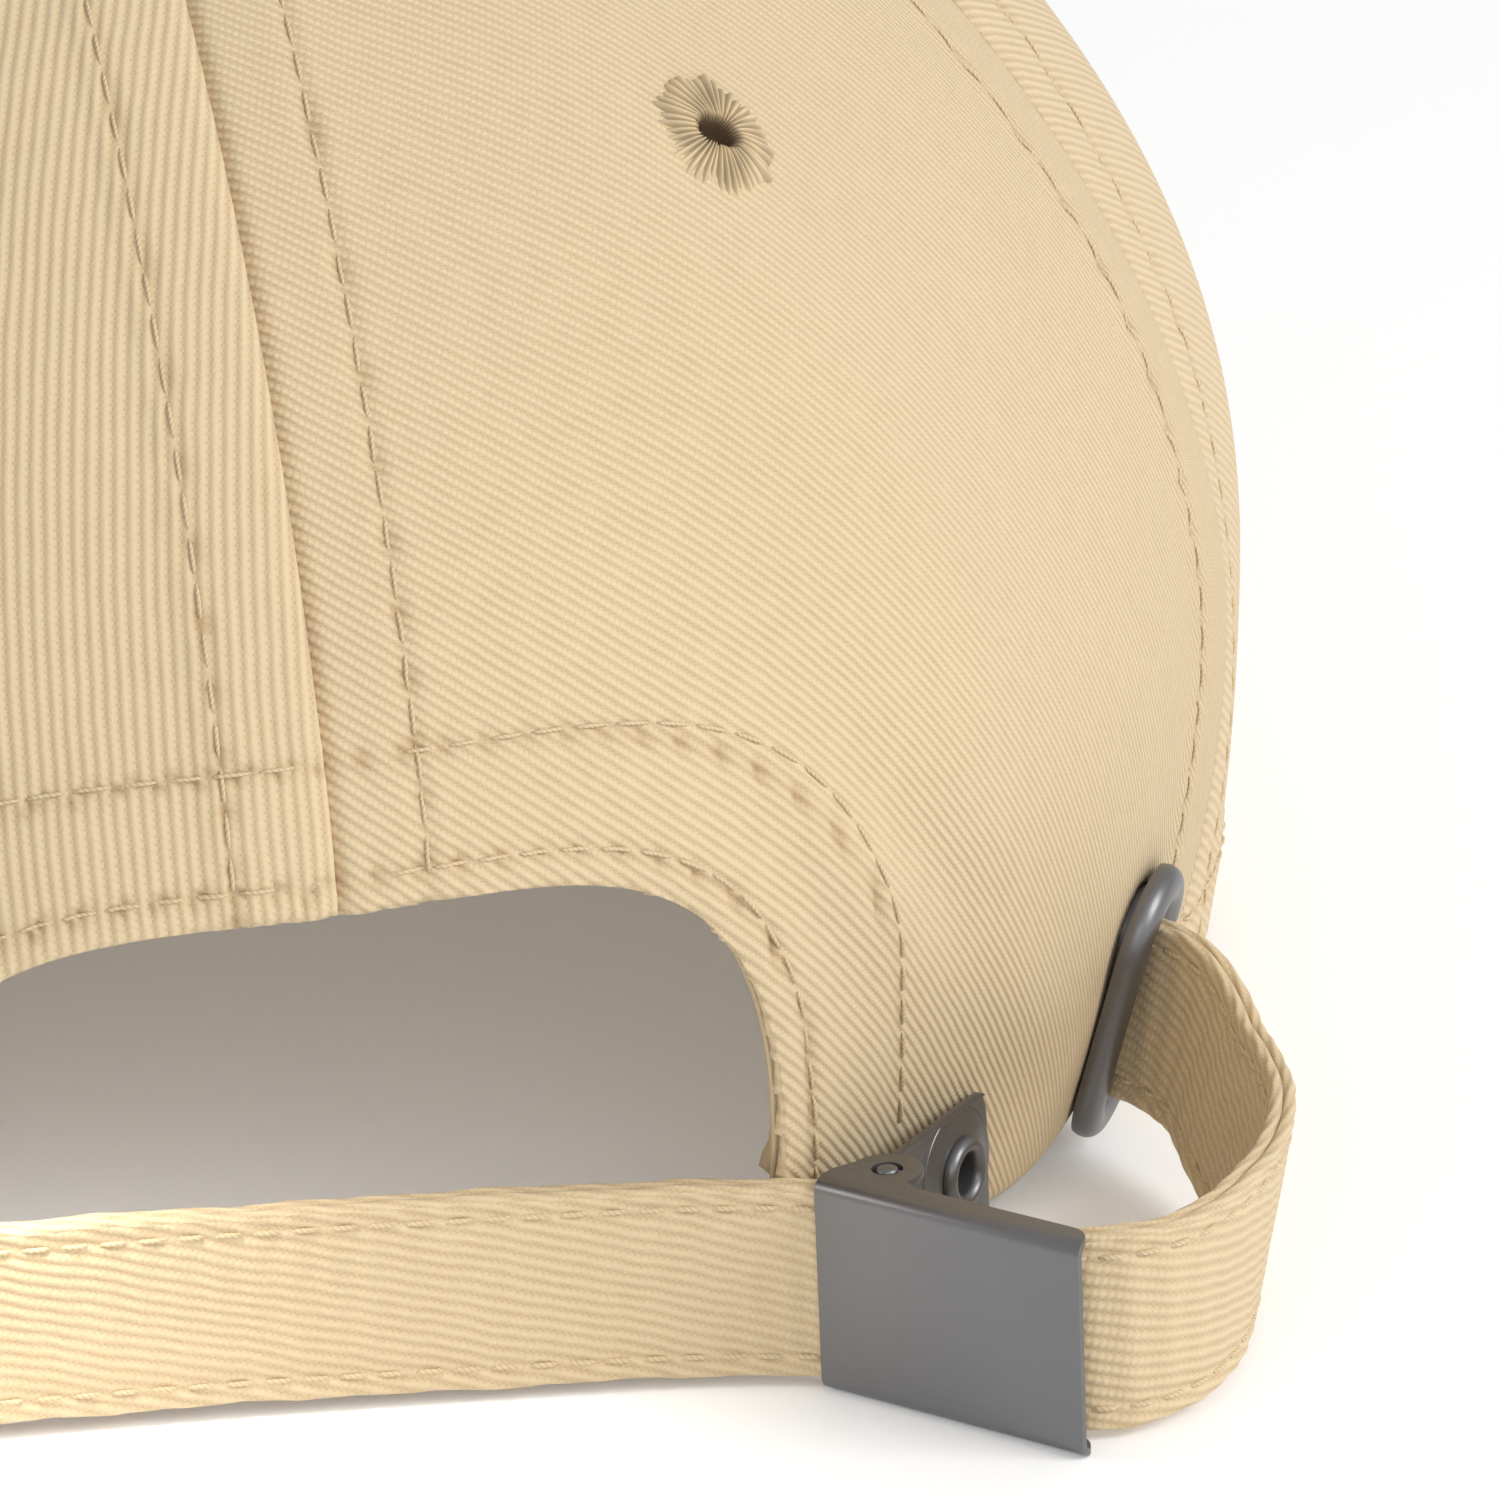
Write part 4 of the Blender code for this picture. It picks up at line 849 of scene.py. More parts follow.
    def panel(self, index: int) -> bpy.types.Object:
        """One panel: a grid between its seams with the holes cut and their edges snapped to the outline."""
        detailed = index in (0, 5)
        rows, columns = (236, 176) if detailed else (130, 90)
        share = np.linspace(0.0, 1.0, rows + 1)[:, None] + 0.0 * np.zeros(columns + 1)
        across = np.linspace(0.0, 1.0, columns + 1)
        lap = self.seam_lap * (1.0 - share[:, :1])
        first = self.seam_phi(index, -lap, share[:, :1])
        last = self.seam_phi(index + 1, lap, share[:, :1])
        phi = first + (last - first) * across
        cuts = [self.hole(self.shape.axes(math.radians(60.0 * index + 30.0), EYELET_HEIGHT), EYELET_HOLE)]
        if detailed:
            cuts.append(self.arch_cut())
        if index == 0:
            slot = self.shape.axes(math.radians(GROMMET[0]), GROMMET[1])
            half = (GROMMET_SLOT[0] - GROMMET_SLOT[1]) / 2.0
            cuts += [self.hole(slot, GROMMET_SLOT[1] / 2.0 + 1.1 * MM, half), self.hole(self.buckle_rivet, 2.4 * MM)]
        faces = grid_faces(rows + 1, columns + 1)
        for cut in cuts:
            inside = cut.depth(self.shape.outer(phi, share)) < 0.0
            faces = faces[~inside.ravel()[faces].all(axis=1)]
            phi, share = self.snap(cut, phi, share, inside)
        points = self.shape.outer(phi, share)
        height, hollow_shade = self.relief(index, phi, points)
        points = points + self.shape.normal(phi, share) * height[..., None]
        used = np.unique(faces)
        index_of = np.zeros(points[..., 0].size, int)
        index_of[used] = np.arange(len(used))
        uv = self.cloth_uv(index, phi, share).reshape(-1, 2)[used]
        hollow_shade = hollow_shade.ravel()[used]
        obj = make_object(f"{PANELS[index]}_twill", points.reshape(-1, 3)[used], index_of[faces][:, ::-1], uv, hollow_shade)
        self.face_outwards(obj)
        return solidify(obj, self.shape.cloth)

    def face_outwards(self, obj: bpy.types.Object) -> None:
        """Flips an open shell whose faces point to the crown's inside."""
        centre = np.array([0.0, 0.0, 40.0 * MM])
        normals = np.zeros(len(obj.data.polygons) * 3)
        obj.data.polygons.foreach_get("normal", normals)
        middle = np.zeros_like(normals)
        obj.data.polygons.foreach_get("center", middle)
        if (normals.reshape(-1, 3) * (middle.reshape(-1, 3) - centre)).sum() < 0.0:
            obj.data.flip_normals()

    def snap(self, cut: Cut, phi: Array, share: Array, inside: Array) -> tuple[Array, Array]:
        """Moves the points inside a cut that still carry faces onto its outline, by Newton steps along its slope."""
        ring = inside & ~(
            inside & np.roll(inside, 1, 0) & np.roll(inside, -1, 0) & np.roll(inside, 1, 1) & np.roll(inside, -1, 1)
            & np.roll(np.roll(inside, 1, 0), 1, 1) & np.roll(np.roll(inside, 1, 0), -1, 1)
            & np.roll(np.roll(inside, -1, 0), 1, 1) & np.roll(np.roll(inside, -1, 0), -1, 1)
        )
        p, s = phi[ring], share[ring]
        step = 2e-4
        for _ in range(6):
            value = cut.depth(self.shape.outer(p, s))
            dp = (cut.depth(self.shape.outer(p + step, s)) - cut.depth(self.shape.outer(p - step, s))) / (2.0 * step)
            up, down = np.minimum(s + step, 1.0), np.maximum(s - step, 0.0)
            ds = (cut.depth(self.shape.outer(p, up)) - cut.depth(self.shape.outer(p, down))) / (up - down)
            size = dp**2 / (90.0 * MM) ** 2 + ds**2 / (150.0 * MM) ** 2
            scale = np.where(size > 1e-12, value / np.maximum(size, 1e-12), 0.0)
            p = p - np.clip(scale * dp / (90.0 * MM) ** 2, -0.01, 0.01)
            s = np.clip(s - np.clip(scale * ds / (150.0 * MM) ** 2, -0.006, 0.006), 0.0, 1.0)
        phi, share = phi.copy(), share.copy()
        phi[ring], share[ring] = p, s
        return phi, share

    def row_on(self, index: int, phi: Array, share: Array) -> tuple[Array, Array]:
        """Path of a stitch row on a panel's real surface, and the normals along it."""
        points = self.shape.outer(phi, share)
        normal = self.shape.normal(phi, share)
        height, _ = self.relief(index, phi, points)
        return points + normal * (height + 0.16 * MM)[:, None], normal

    def stitches(self, index: int) -> bpy.types.Object:
        """Topstitching of a panel: a row beside each seam, and two along the hem, or along the arch alone."""
        rows = []
        for edge, side in ((0, 1.0), (1, -1.0)):
            start = 0.012
            if (index, edge) in ((0, 0), (5, 1)):
                start = float(self.shape.share_at(0.0, self.shape.rear_hem + self.shape.arch_height + 1.2 * MM))
            share = np.linspace(start, 0.955, 400)
            rows.append(self.row_on(index, self.seam_phi(index + edge, side * self.row_out, share), share))
        for away in self.hem_rows:
            rows += self.hem_row(index, away)
        return self.stitching.mesh(f"{PANELS[index]}_stitches", rows)

    def hem_row(self, index: int, away: float) -> list[tuple[Array, Array]]:
        """The part of a hem or arch row that lies on one panel."""
        first, last = (math.radians(60.0 * (index + k)) for k in (0, 1))
        if index not in (0, 5):
            from_front = abs((60.0 * index + 30.0) - 180.0)
            phi = np.linspace(first + 0.006, last - 0.006, 300)
            share = self.shape.share_at(phi, self.shape.hem(phi) + away)
            return [] if from_front < 40.0 else [self.row_on(index, phi, share)]
        x, z = self.shape.arch(away, 300)
        x, z = (x[x < 0.0], z[x < 0.0]) if index == 0 else (x[x > 0.0][::-1], z[x > 0.0][::-1])
        keep = z > self.shape.rear_hem + away
        arch = self.shape.phi_at(x[keep], z[keep])
        phi = arch + (2.0 * math.pi if index == 5 else 0.0)
        return [self.row_on(index, phi, self.shape.share_at(phi, z[keep]))]

    def eyelet(self, index: int) -> bpy.types.Object:
        """Worked eyelet: a lip of radial threads of uneven length round the hole, and a bore through the panel.

        The profile runs from the bore's inner end over a round lip to the outer edge; each thread is |cos| of the
        turn, and its length and height vary from thread to thread.
        """
        threads, per_thread = 40, 6
        rng = np.random.default_rng(7 + index)
        count = threads * per_thread
        turn = np.linspace(0.0, 2.0 * math.pi, count + 1)
        jitter = np.append(rng.normal(0.0, 1.0, threads), 0.0)
        jitter[-1] = jitter[0]
        long = 0.32 * MM * np.interp(turn / (2.0 * math.pi) * threads, np.arange(threads + 1), jitter)
        ridge = np.abs(np.cos(turn * threads / 2.0)) ** 0.8
        radius = np.array([1.6, 1.5, 1.4, 1.45, 1.7, 2.1, 2.8, 3.5, 4.1, 4.6, 4.95, 5.1]) * MM
        height = np.array([-1.9, -1.3, -0.5, 0.2, 0.75, 0.92, 0.86, 0.70, 0.52, 0.34, 0.12, -0.35]) * MM
        out = smooth((radius - 2.0 * MM) / (3.0 * MM))
        r = radius[:, None] + long * out[:, None]
        squeeze = np.array([0.82 if index == 0 else 1.0, 1.0])
        oval = 1.0 - 0.35 * (1.0 - out[:, None]) * np.abs(np.sin(turn + 0.6)) ** 2
        bulk = smooth((height + 0.9 * MM) / (0.8 * MM))[:, None]
        z = height[:, None] + bulk * (0.55 * MM * (ridge - 0.7) + 0.25 * long)
        x, y = r * oval * np.cos(turn) * squeeze[0] ** 0.2, r * oval * np.sin(turn)
        points = np.stack([x, y, z - (x**2 + y**2) / (170.0 * MM) + 0.05 * MM], -1)
        uv = 0.12 * np.stack([r + 0.0 * turn, turn * 3.0 * MM + 0.0 * r], -1)
        # Painted shade: full in the bore, and some between the radial threads.
        hole = 1.0 - smooth((radius - 1.35 * MM) / (0.75 * MM))[:, None]
        hollow_shade = np.clip(hole + 0.45 * (1.0 - ridge), 0.0, 1.0)
        obj = make_object(f"{PANELS[index]}_eyelet_threads", points, grid_faces(len(radius), count + 1), uv, hollow_shade)
        weld(obj)
        place(obj, self.shape.axes(math.radians(60.0 * index + 30.0), EYELET_HEIGHT))
        self.face_outwards(obj)
        return obj

    def strip(self, name: str, phi: Array, share: Array, inward: Array, thickness: float) -> bpy.types.Object:
        """A strip of cloth on the crown's inside, its UV the run across and along it."""
        points = self.shape.point(phi, share, inward)
        across = run_along(points[:, points.shape[1] // 2])
        along = run_along(points[points.shape[0] // 2])
        uv = np.stack(np.meshgrid(along, across), -1)
        obj = make_object(name, points, grid_faces(*points.shape[:2]), uv)
        self.face_outwards(obj)
        return solidify(obj, thickness)

    def tape(self, index: int) -> bpy.types.Object:
        """Tape over a seam's inside, slightly domed across."""
        name = ("back", "back_right", "front_right", "front", "front_left", "back_left")[index]
        bottom = 0.015
        if index == 0:
            bottom = float(self.shape.share_at(0.0, self.shape.rear_hem + self.shape.arch_height + 7.6 * MM))
        share = np.linspace(bottom, 0.93, 140)[:, None]
        across = np.linspace(-1.0, 1.0, 15)
        phi = self.seam_phi(index, 0.0, share) + 7.0 * MM * across / np.maximum(
            np.hypot(*np.moveaxis(self.shape.outer(math.radians(60.0 * index), share)[..., :2], -1, 0)), 3.0 * MM
        )
        inward = self.shape.cloth + 0.35 * MM + 0.35 * MM * (1.0 - across**4) + 0.0 * share
        return self.strip(f"seam_tape_{name}_cloth", phi, share + 0.0 * across, inward, 0.5 * MM)

    def facing(self) -> bpy.types.Object:
        """Bias strip inside along the arch, from just beyond its edge."""
        grid = []
        for grow in np.linspace(0.3 * MM, 7.0 * MM, 12):
            x, z = self.shape.arch(grow, 220)
            z = np.maximum(z, self.shape.rear_hem + 0.8 * MM)
            grid.append(np.stack([self.shape.phi_at(x, z), z], -1))
        grid = np.array(grid)
        share = self.shape.share_at(grid[..., 0], grid[..., 1])
        return self.strip("arch_facing_cloth", grid[..., 0], share, np.full(share.shape, 1.5 * MM), 0.5 * MM)

    def sweatband(self) -> bpy.types.Object:
        """Sweatband inside the hem: a padded band, standing off where the strap's two ends lie behind it."""
        start = math.radians(30.0)
        phi = np.linspace(start, 2.0 * math.pi - start, 420)
        rise = np.linspace(0.0, 1.0, 24)[:, None]
        tail = 1.0 - smooth((np.degrees(phi) - 76.0) / 18.0)
        sewn = 1.0 - smooth((318.0 - np.degrees(phi)) / 14.0)
        ripple = 0.25 * MM * np.sin(phi * 61.0) * rise**2
        dents = 0.35 * MM * bell(rise - 0.1, 0.03), 0.35 * MM * bell(rise - 0.93, 0.03)
        belly = 0.5 * MM * np.sin(math.pi * rise) - dents[0] - dents[1]
        inward = 2.5 * MM + 7.4 * MM * tail + 6.4 * MM * sewn + ripple + belly
        height = self.shape.hem(phi) + 0.7 * MM + rise * 30.0 * MM
        wide = phi + 0.0 * rise
        return self.strip("sweatband_cloth", wide, self.shape.share_at(wide, height), inward, 1.2 * MM)

    def build(self) -> None:
        for index, name in enumerate(PANELS):
            panel = self.maker.add(self.panel(index), "cotton_twill", "cotton_twill", [f"{name}_panel"])
            threads = self.maker.add(self.stitches(index), "thread", "eyelet_thread")
            self.maker.add(self.eyelet(index), "eyelet_thread", "eyelet_thread", [f"{name}_eyelet"])
        for index in range(6):
            node = ("back", "back_right", "front_right", "front", "front_left", "back_left")[index]
            tape = self.maker.add(self.tape(index), "lining_tape", "lining_tape", [f"seam_tape_{node}"])
        facing = self.maker.add(self.facing(), "lining_tape", "lining_tape", ["arch_facing"])
        band = self.maker.add(self.sweatband(), "sweatband_cotton", "sweatband_cotton", ["sweatband"])


# --- visor and button ----------------------------------------------------------------------


@dataclass
class Visor:
    """Two layers of twill over a board, joined at a rolled rim, with parallel rows of stitches."""

    shape: CrownShape
    maker: Maker
    stitching: Stitching = field(default_factory=Stitching)
    reach: float = 72.0 * MM
    squareness: float = 0.82
    stack: float = 4.6 * MM
    board: float = 1.6 * MM
    gap: float = 0.30 * MM
    rows: tuple[float, ...] = (0.952, 0.868, 0.784, 0.70, 0.616, 0.532, 0.448, 0.364)

    def surface(self, across: Array, reach: Array, lift: Array) -> Array:
        """Point of the visor: straight lines in plan from the crown's hem (reach 0) to the rim's curve (reach 1)."""
        shape = self.shape
        phi = math.pi + math.radians(shape.visor_half_degrees) * across
        seat = shape.wall * self.stack / (shape.widest - shape.hem(phi))
        inner = shape.point(phi, seat, -2.0 * self.gap + 0.0 * phi)[..., :2]
        end = shape.point(math.pi + math.radians(shape.visor_half_degrees), float(
            shape.wall * self.stack / (shape.widest - shape.hem(math.pi + math.radians(shape.visor_half_degrees)))
        ), -2.0 * self.gap)[:2]
        corner_x, corner_y = abs(float(end[0])) + 1.0 * MM, float(end[1])
        front = -(shape.half_length * 0.96 + self.reach)
        turn = across * math.pi / 2.0
        outer_y = corner_y - 1.0 * MM + (front - corner_y) * np.maximum(np.cos(turn), 0.0) ** self.squareness
        outer = np.stack([corner_x * np.sin(turn), outer_y], -1)
        plan = inner * (1.0 - reach[..., None]) + outer * reach[..., None]
        z = shape.visor_z(plan[..., 0], plan[..., 1], lift)
        return np.concatenate([plan, z[..., None]], -1)

    def layer(self, name: str, side: float) -> bpy.types.Object:
        """Top (side 1) or bottom (side -1) layer: lifted off the middle, closing in to it round the rim."""
        columns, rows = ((240, 110))
        across = np.linspace(-1.0, 1.0, columns + 1)
        reach = (1.0 - (1.0 - np.linspace(0.0, 1.0, rows + 1)) ** 1.25)[:, None]
        across, reach = np.broadcast_arrays(across, reach)
        skin = self.board / 2.0 + 2.3 * self.gap
        full = skin + self.shape.cloth
        rim = (1.0 - reach) * self.reach / (2.6 * MM)
        roll = np.sqrt(np.clip(1.0 - (1.0 - np.clip(rim, 0.0, 1.0)) ** 2, 0.0, 1.0))
        lift = side * (0.15 * MM + (full - 0.15 * MM) * roll)
        flat = self.surface(across, reach, np.zeros(reach.shape))
        run = across * 95.0 * MM
        relief = np.zeros(reach.shape)
        for row in self.rows:
            away = (reach - row) * self.reach
            relief -= 0.22 * MM * bell(away, 0.6 * MM)
            relief += 0.05 * MM * np.sin(2.0 * math.pi * run / (2.9 * MM) + row * 40.0) * bell(away, 1.4 * MM)
            relief += 0.10 * MM * bell(away - 4.2 * MM, 2.6 * MM)
        points = self.surface(across, reach, lift + side * relief)
        uv = flat[..., :2] * (1.0, 1.02)
        turned_uv = np.stack([0.82 * uv[..., 0] + 0.57 * uv[..., 1], 0.82 * uv[..., 1] - 0.57 * uv[..., 0]], -1)
        faces = grid_faces(rows + 1, columns + 1)
        obj = make_object(name, points, faces[:, ::-1] if side > 0 else faces, turned_uv)
        normals = np.zeros(len(obj.data.polygons) * 3)
        obj.data.polygons.foreach_get("normal", normals)
        if normals.reshape(-1, 3)[:, 2].sum() * side < 0.0:
            obj.data.flip_normals()
        return solidify(obj, self.shape.cloth * 0.9)

    def row(self, reach: float, side: float) -> tuple[Array, Array]:
        """Path of one row of stitches on the top or bottom layer."""
        across = np.linspace(-0.985, 0.985, 500)
        full = self.board / 2.0 + 2.3 * self.gap + self.shape.cloth - 0.12 * MM
        path = self.surface(across, np.full(500, reach), np.full(500, side * full))
        slope = path[:, 0] / self.shape.visor_bend
        normal = np.stack([slope, 0.0 * slope - 0.05, np.sqrt(1.0 - slope**2)], -1) * side
        return path, normal / np.linalg.norm(normal, axis=-1, keepdims=True)

    def build(self) -> None:
        """Builds the layers and their stitches; the hidden board keeps its CAD solid."""
        for name, side in (("top", 1.0), ("bottom", -1.0)):
            layer = self.maker.add(
                self.layer(f"visor_{name}_twill", side), "visor_twill", "cotton_twill", [f"visor_{name}_fabric"]
            )
            threads = self.stitching.mesh(f"visor_{name}_stitches", [self.row(r, side) for r in self.rows])
            self.maker.add(threads, "thread", "eyelet_thread")
        self.maker.keep("visor_board", "visor_board")


@dataclass
class Button:
    """Cloth-covered button on the apex."""

    shape: CrownShape
    maker: Maker
    radius: float = 8.0 * MM
    height: float = 5.0 * MM

    def build(self) -> None:
        """Cover: a dome (r cos a, h sin a) with soft gathers near its rim, and a hollow under it."""
        rise = np.radians(np.linspace(90.0, -14.0, 30))[:, None]
        turn = np.linspace(0.0, 2.0 * math.pi, 121)
        gather = 1.0 + 0.012 * np.sin(turn * 17.0 + np.sin(turn * 3.0)) * np.cos(rise) ** 6
        r = self.radius * np.cos(rise) ** 0.9 * gather
        z = self.height * np.sin(rise) + 0.0 * turn
        points = np.stack([r * np.cos(turn), r * np.sin(turn), z], -1)
        obj = make_object("button_cover_twill", points, grid_faces(30, 121)[:, ::-1], points[..., :2])
        place(weld(obj), Matrix.Translation((0.0, 0.0, self.shape.apex + 1.3 * MM)))
        normals = np.zeros(len(obj.data.polygons) * 3)
        obj.data.polygons.foreach_get("normal", normals)
        if normals.reshape(-1, 3)[:, 2].sum() < 0.0:
            obj.data.flip_normals()
        self.maker.add(solidify(obj, 0.6 * MM), "cotton_twill", "cotton_twill", ["button_cover"])
        for node, finish in (
            ("button_core", "button_plastic"), ("button_washer", "button_plastic"), ("button_rivet", "rivet_steel")
        ):
            self.maker.keep(node, finish)


# --- buckle and grommet --------------------------------------------------------------------


@dataclass
class Buckle:
    """Sheet-metal base riveted to the crown, and the cover lever that turns on its ears."""

    maker: Maker
    shape: CrownShape
    sheet: float = 0.5 * MM
    hinge: tuple[float, float] = (-39.4 * MM, 93.6 * MM)
    base_degrees: float = 225.0
    open_degrees: float = 95.0
    lever_length: float = 22.1 * MM
    lever_height: float = 16.4 * MM
    lever_depth: float = 4.2 * MM
    heel: float = 3.4 * MM
    lip: float = 2.4 * MM
    ear: float = 2.6 * MM
    hole: float = 1.15 * MM
    nib: float = 0.8 * MM
    bend: float = 1.1 * MM
    base_length: float = 19.5 * MM
    base_ear: float = 1.3 * MM
    base_depth: float = 2.6 * MM
    base_corner: float = 2.6 * MM
    rivet_along: float = 13.5 * MM
    rivet_z: float = 10.3 * MM
    gap: float = 0.30 * MM

    def plan(self, degrees: float) -> Matrix:
        """Frame on the hinge axis, X along a direction in plan and Z up."""
        return Matrix.Translation((*self.hinge, 0.0)) @ Matrix.Rotation(math.radians(degrees), 4, "Z")

    @property
    def base_axes(self) -> Matrix:
        """Frame of the base."""
        return self.plan(self.base_degrees)

    @property
    def lever_axes(self) -> Matrix:
        """Frame of the lever as it stands open."""
        return self.plan(self.base_degrees - self.open_degrees)

    @property
    def rivet_axes(self) -> Matrix:
        """Frame at the rivet on the base's front face, Z out of it."""
        move = Matrix.Translation((self.rivet_along, self.base_depth - self.sheet, self.rivet_z))
        return self.base_axes @ move @ Matrix.Rotation(math.radians(90.0), 4, "X")

    def half_section(self, depth: float, height: float, radius: float, inset: float = 0.0) -> list:
        """Half outline of a channel, (y, z), from one flange's edge round the web to the other's."""
        half = height / 2.0
        top = arc((inset + radius, half - radius), radius, 90.0, 180.0, 10)
        bottom = arc((inset + radius, radius - half), radius, 180.0, 270.0, 10)
        return [(depth, half), *top, *bottom, (depth, -half)]

    def channel(self, length: float, depth: float, height: float, flip: float, axes: Matrix) -> bpy.types.Object:
        """Sheet-metal channel along X, its section carried along a straight line."""
        outer = self.half_section(depth, height, self.bend)
        inner = self.half_section(depth, height - 2.0 * self.sheet, self.bend - self.sheet, self.sheet)
        section = np.array(outer + inner[::-1])
        count = len(section)
        points = np.array([(x, y * flip, z) for x in (0.0, length) for y, z in section])
        sides = [(i, (i + 1) % count, count + (i + 1) % count, count + i) for i in range(count)]
        faces = [tuple(range(count))[::-1], tuple(range(count, 2 * count)), *sides]
        return place(weld(make_object("channel", points, faces), outward=True), axes)

    def finish_edges(self, obj: bpy.types.Object, width: float) -> bpy.types.Object:
        """Rounds the sheared edges and keeps the flats flat."""
        weld(obj, 2e-6)
        bevel = obj.modifiers.new("edges", "BEVEL")
        bevel.width = width
        bevel.segments = 3
        bevel.limit_method = "ANGLE"
        bevel.angle_limit = math.radians(40.0)
        bevel.harden_normals = False
        bake(obj)
        obj.data.shade_smooth()
        obj.data.set_sharp_from_angle(angle=math.radians(32.0))
        return obj

    def lever(self) -> bpy.types.Object:
        """Channel trimmed to hinge ears, a notch and a narrow lip."""
        axes = self.lever_axes
        centre = Matrix.Translation((-self.heel, -self.lever_depth, self.lever_height / 2.0))
        obj = self.channel(self.lever_length, self.lever_depth + self.ear + MM, self.lever_height, 1.0, axes @ centre)
        end = self.lever_length - self.heel
        lip = self.lip - self.lever_depth
        outline = [
            (-self.heel - MM, -self.lever_depth - MM),
            (end + MM, -self.lever_depth - MM),
            (end + MM, lip - 1.9 * MM),
            *arc((end - 2.0 * MM, lip - 2.0 * MM), 2.0 * MM, 0.0, 90.0, 10),
            (self.ear + 0.9 * MM, lip),
            *arc((0.0, 0.0), self.ear, -25.0, 180.0, 26),
            (-self.heel - 0.15 * MM, -self.lever_depth + 1.9 * MM),
        ]
        carve(obj, prism(outline, -5.0 * MM, self.lever_height + 5.0 * MM, axes), "INTERSECT")
        ring = arc((0.0, 0.0), self.hole, 0.0, 360.0 - 360.0 / 40, 39)
        carve(obj, prism(ring, -5.0 * MM, self.lever_height + 5.0 * MM, axes))
        obj.name = "lever_plate"
        return self.finish_edges(obj, 0.11 * MM)

    def base(self) -> bpy.types.Object:
        """Plate with two ears and a nib on each, and a raised ring pressed round the rivet."""
        axes = self.base_axes
        low = self.sheet + self.gap
        height = self.lever_height - 2.0 * low
        start = -self.base_ear
        centre = Matrix.Translation((start, self.base_depth, self.lever_height / 2.0))
        deep = self.base_depth + self.base_ear + MM
        obj = self.channel(self.base_length, deep, height, -1.0, axes @ centre)
        web = self.base_depth - self.bend
        outline = [
            (0.6 * MM, self.base_depth + MM),
            *arc((0.0, 0.0), self.base_ear, 180.0, 360.0, 20),
            (self.base_ear + 0.4 * MM, web),
            (start + self.base_length + MM, web),
            (start + self.base_length + MM, self.base_depth + MM),
        ]
        carve(obj, prism(outline, -5.0 * MM, self.lever_height + 5.0 * MM, axes), "INTERSECT")
        face = Matrix.Translation((start + self.base_length / 2.0 - 3.0 * MM, 0.0, self.lever_height / 2.0))
        upright = Matrix.Rotation(math.radians(90.0), 4, "X")
        corners = rounded_box(self.base_length + 6.0 * MM, height, self.base_corner)
        carve(obj, prism(corners, -20.0 * MM, 20.0 * MM, axes @ face @ upright), "INTERSECT")
        hole = arc((0.0, 0.0), 2.3 * MM, 0.0, 360.0 - 360.0 / 48, 47)
        carve(obj, prism(hole, -3.0 * MM, 3.0 * MM, self.rivet_axes))
        obj.name = "base_plate"
        self.finish_edges(obj, 0.10 * MM)
        parts = [obj]
        for z in (self.lever_height - low + 0.2 * MM, low - 0.2 * MM):
            h = 0.7 * MM
            profile = (
                (0.0, h), (self.nib - 0.25 * MM, h), (self.nib - 0.08 * MM, h - 0.07 * MM),
                (self.nib, h - 0.25 * MM), (self.nib, 0.25 * MM - h), (self.nib - 0.08 * MM, 0.07 * MM - h),
                (self.nib - 0.25 * MM, -h), (0.0, -h),
            )
            parts.append(turned("nib", profile, 28, axes @ Matrix.Translation((0.0, 0.0, z))))
        rise = np.linspace(0.0, 1.0, 10)
        hump = [(4.9 * MM - 2.4 * MM * t, 0.02 * MM + 0.42 * MM * float(smooth(t))) for t in rise]
        parts.append(turned("press", [*hump, (2.4 * MM, -0.15 * MM), (4.9 * MM, -0.15 * MM)], 56, self.rivet_axes))
        return join("base_plate", parts)

    def rivet(self) -> bpy.types.Object:
        """Hollow rivet with a rolled rim: a half circle from the flange over to the bore."""
        rim, bore, depth = 2.75 * MM, 1.55 * MM, -7.2 * MM
        crest = [((rim + bore) / 2.0 + (rim - bore) / 2.0 * math.cos(a), 0.5 * MM + 0.75 * MM * math.sin(a))
                 for a in np.radians(np.linspace(0.0, 180.0, 15))]
        profile = [(rim - 0.2 * MM, 0.30 * MM), *crest, (bore, depth), (2.0 * MM, depth), (2.0 * MM, 0.30 * MM)]
        obj = turned("hollow_rivet", profile, 56, self.rivet_axes)
        obj.data.set_sharp_from_angle(angle=math.radians(50.0))
        return obj

    def build(self) -> None:
        """Builds the buckle."""
        self.maker.add(self.lever(), "gunmetal", "gunmetal", ["buckle_lever"], Body.LEVER)
        self.maker.add(self.base(), "gunmetal", "gunmetal", ["buckle_base"])
        self.maker.add(self.rivet(), "gunmetal", "gunmetal", ["buckle_rivet"])
        self.maker.keep("buckle_rivet_washer", "gunmetal")


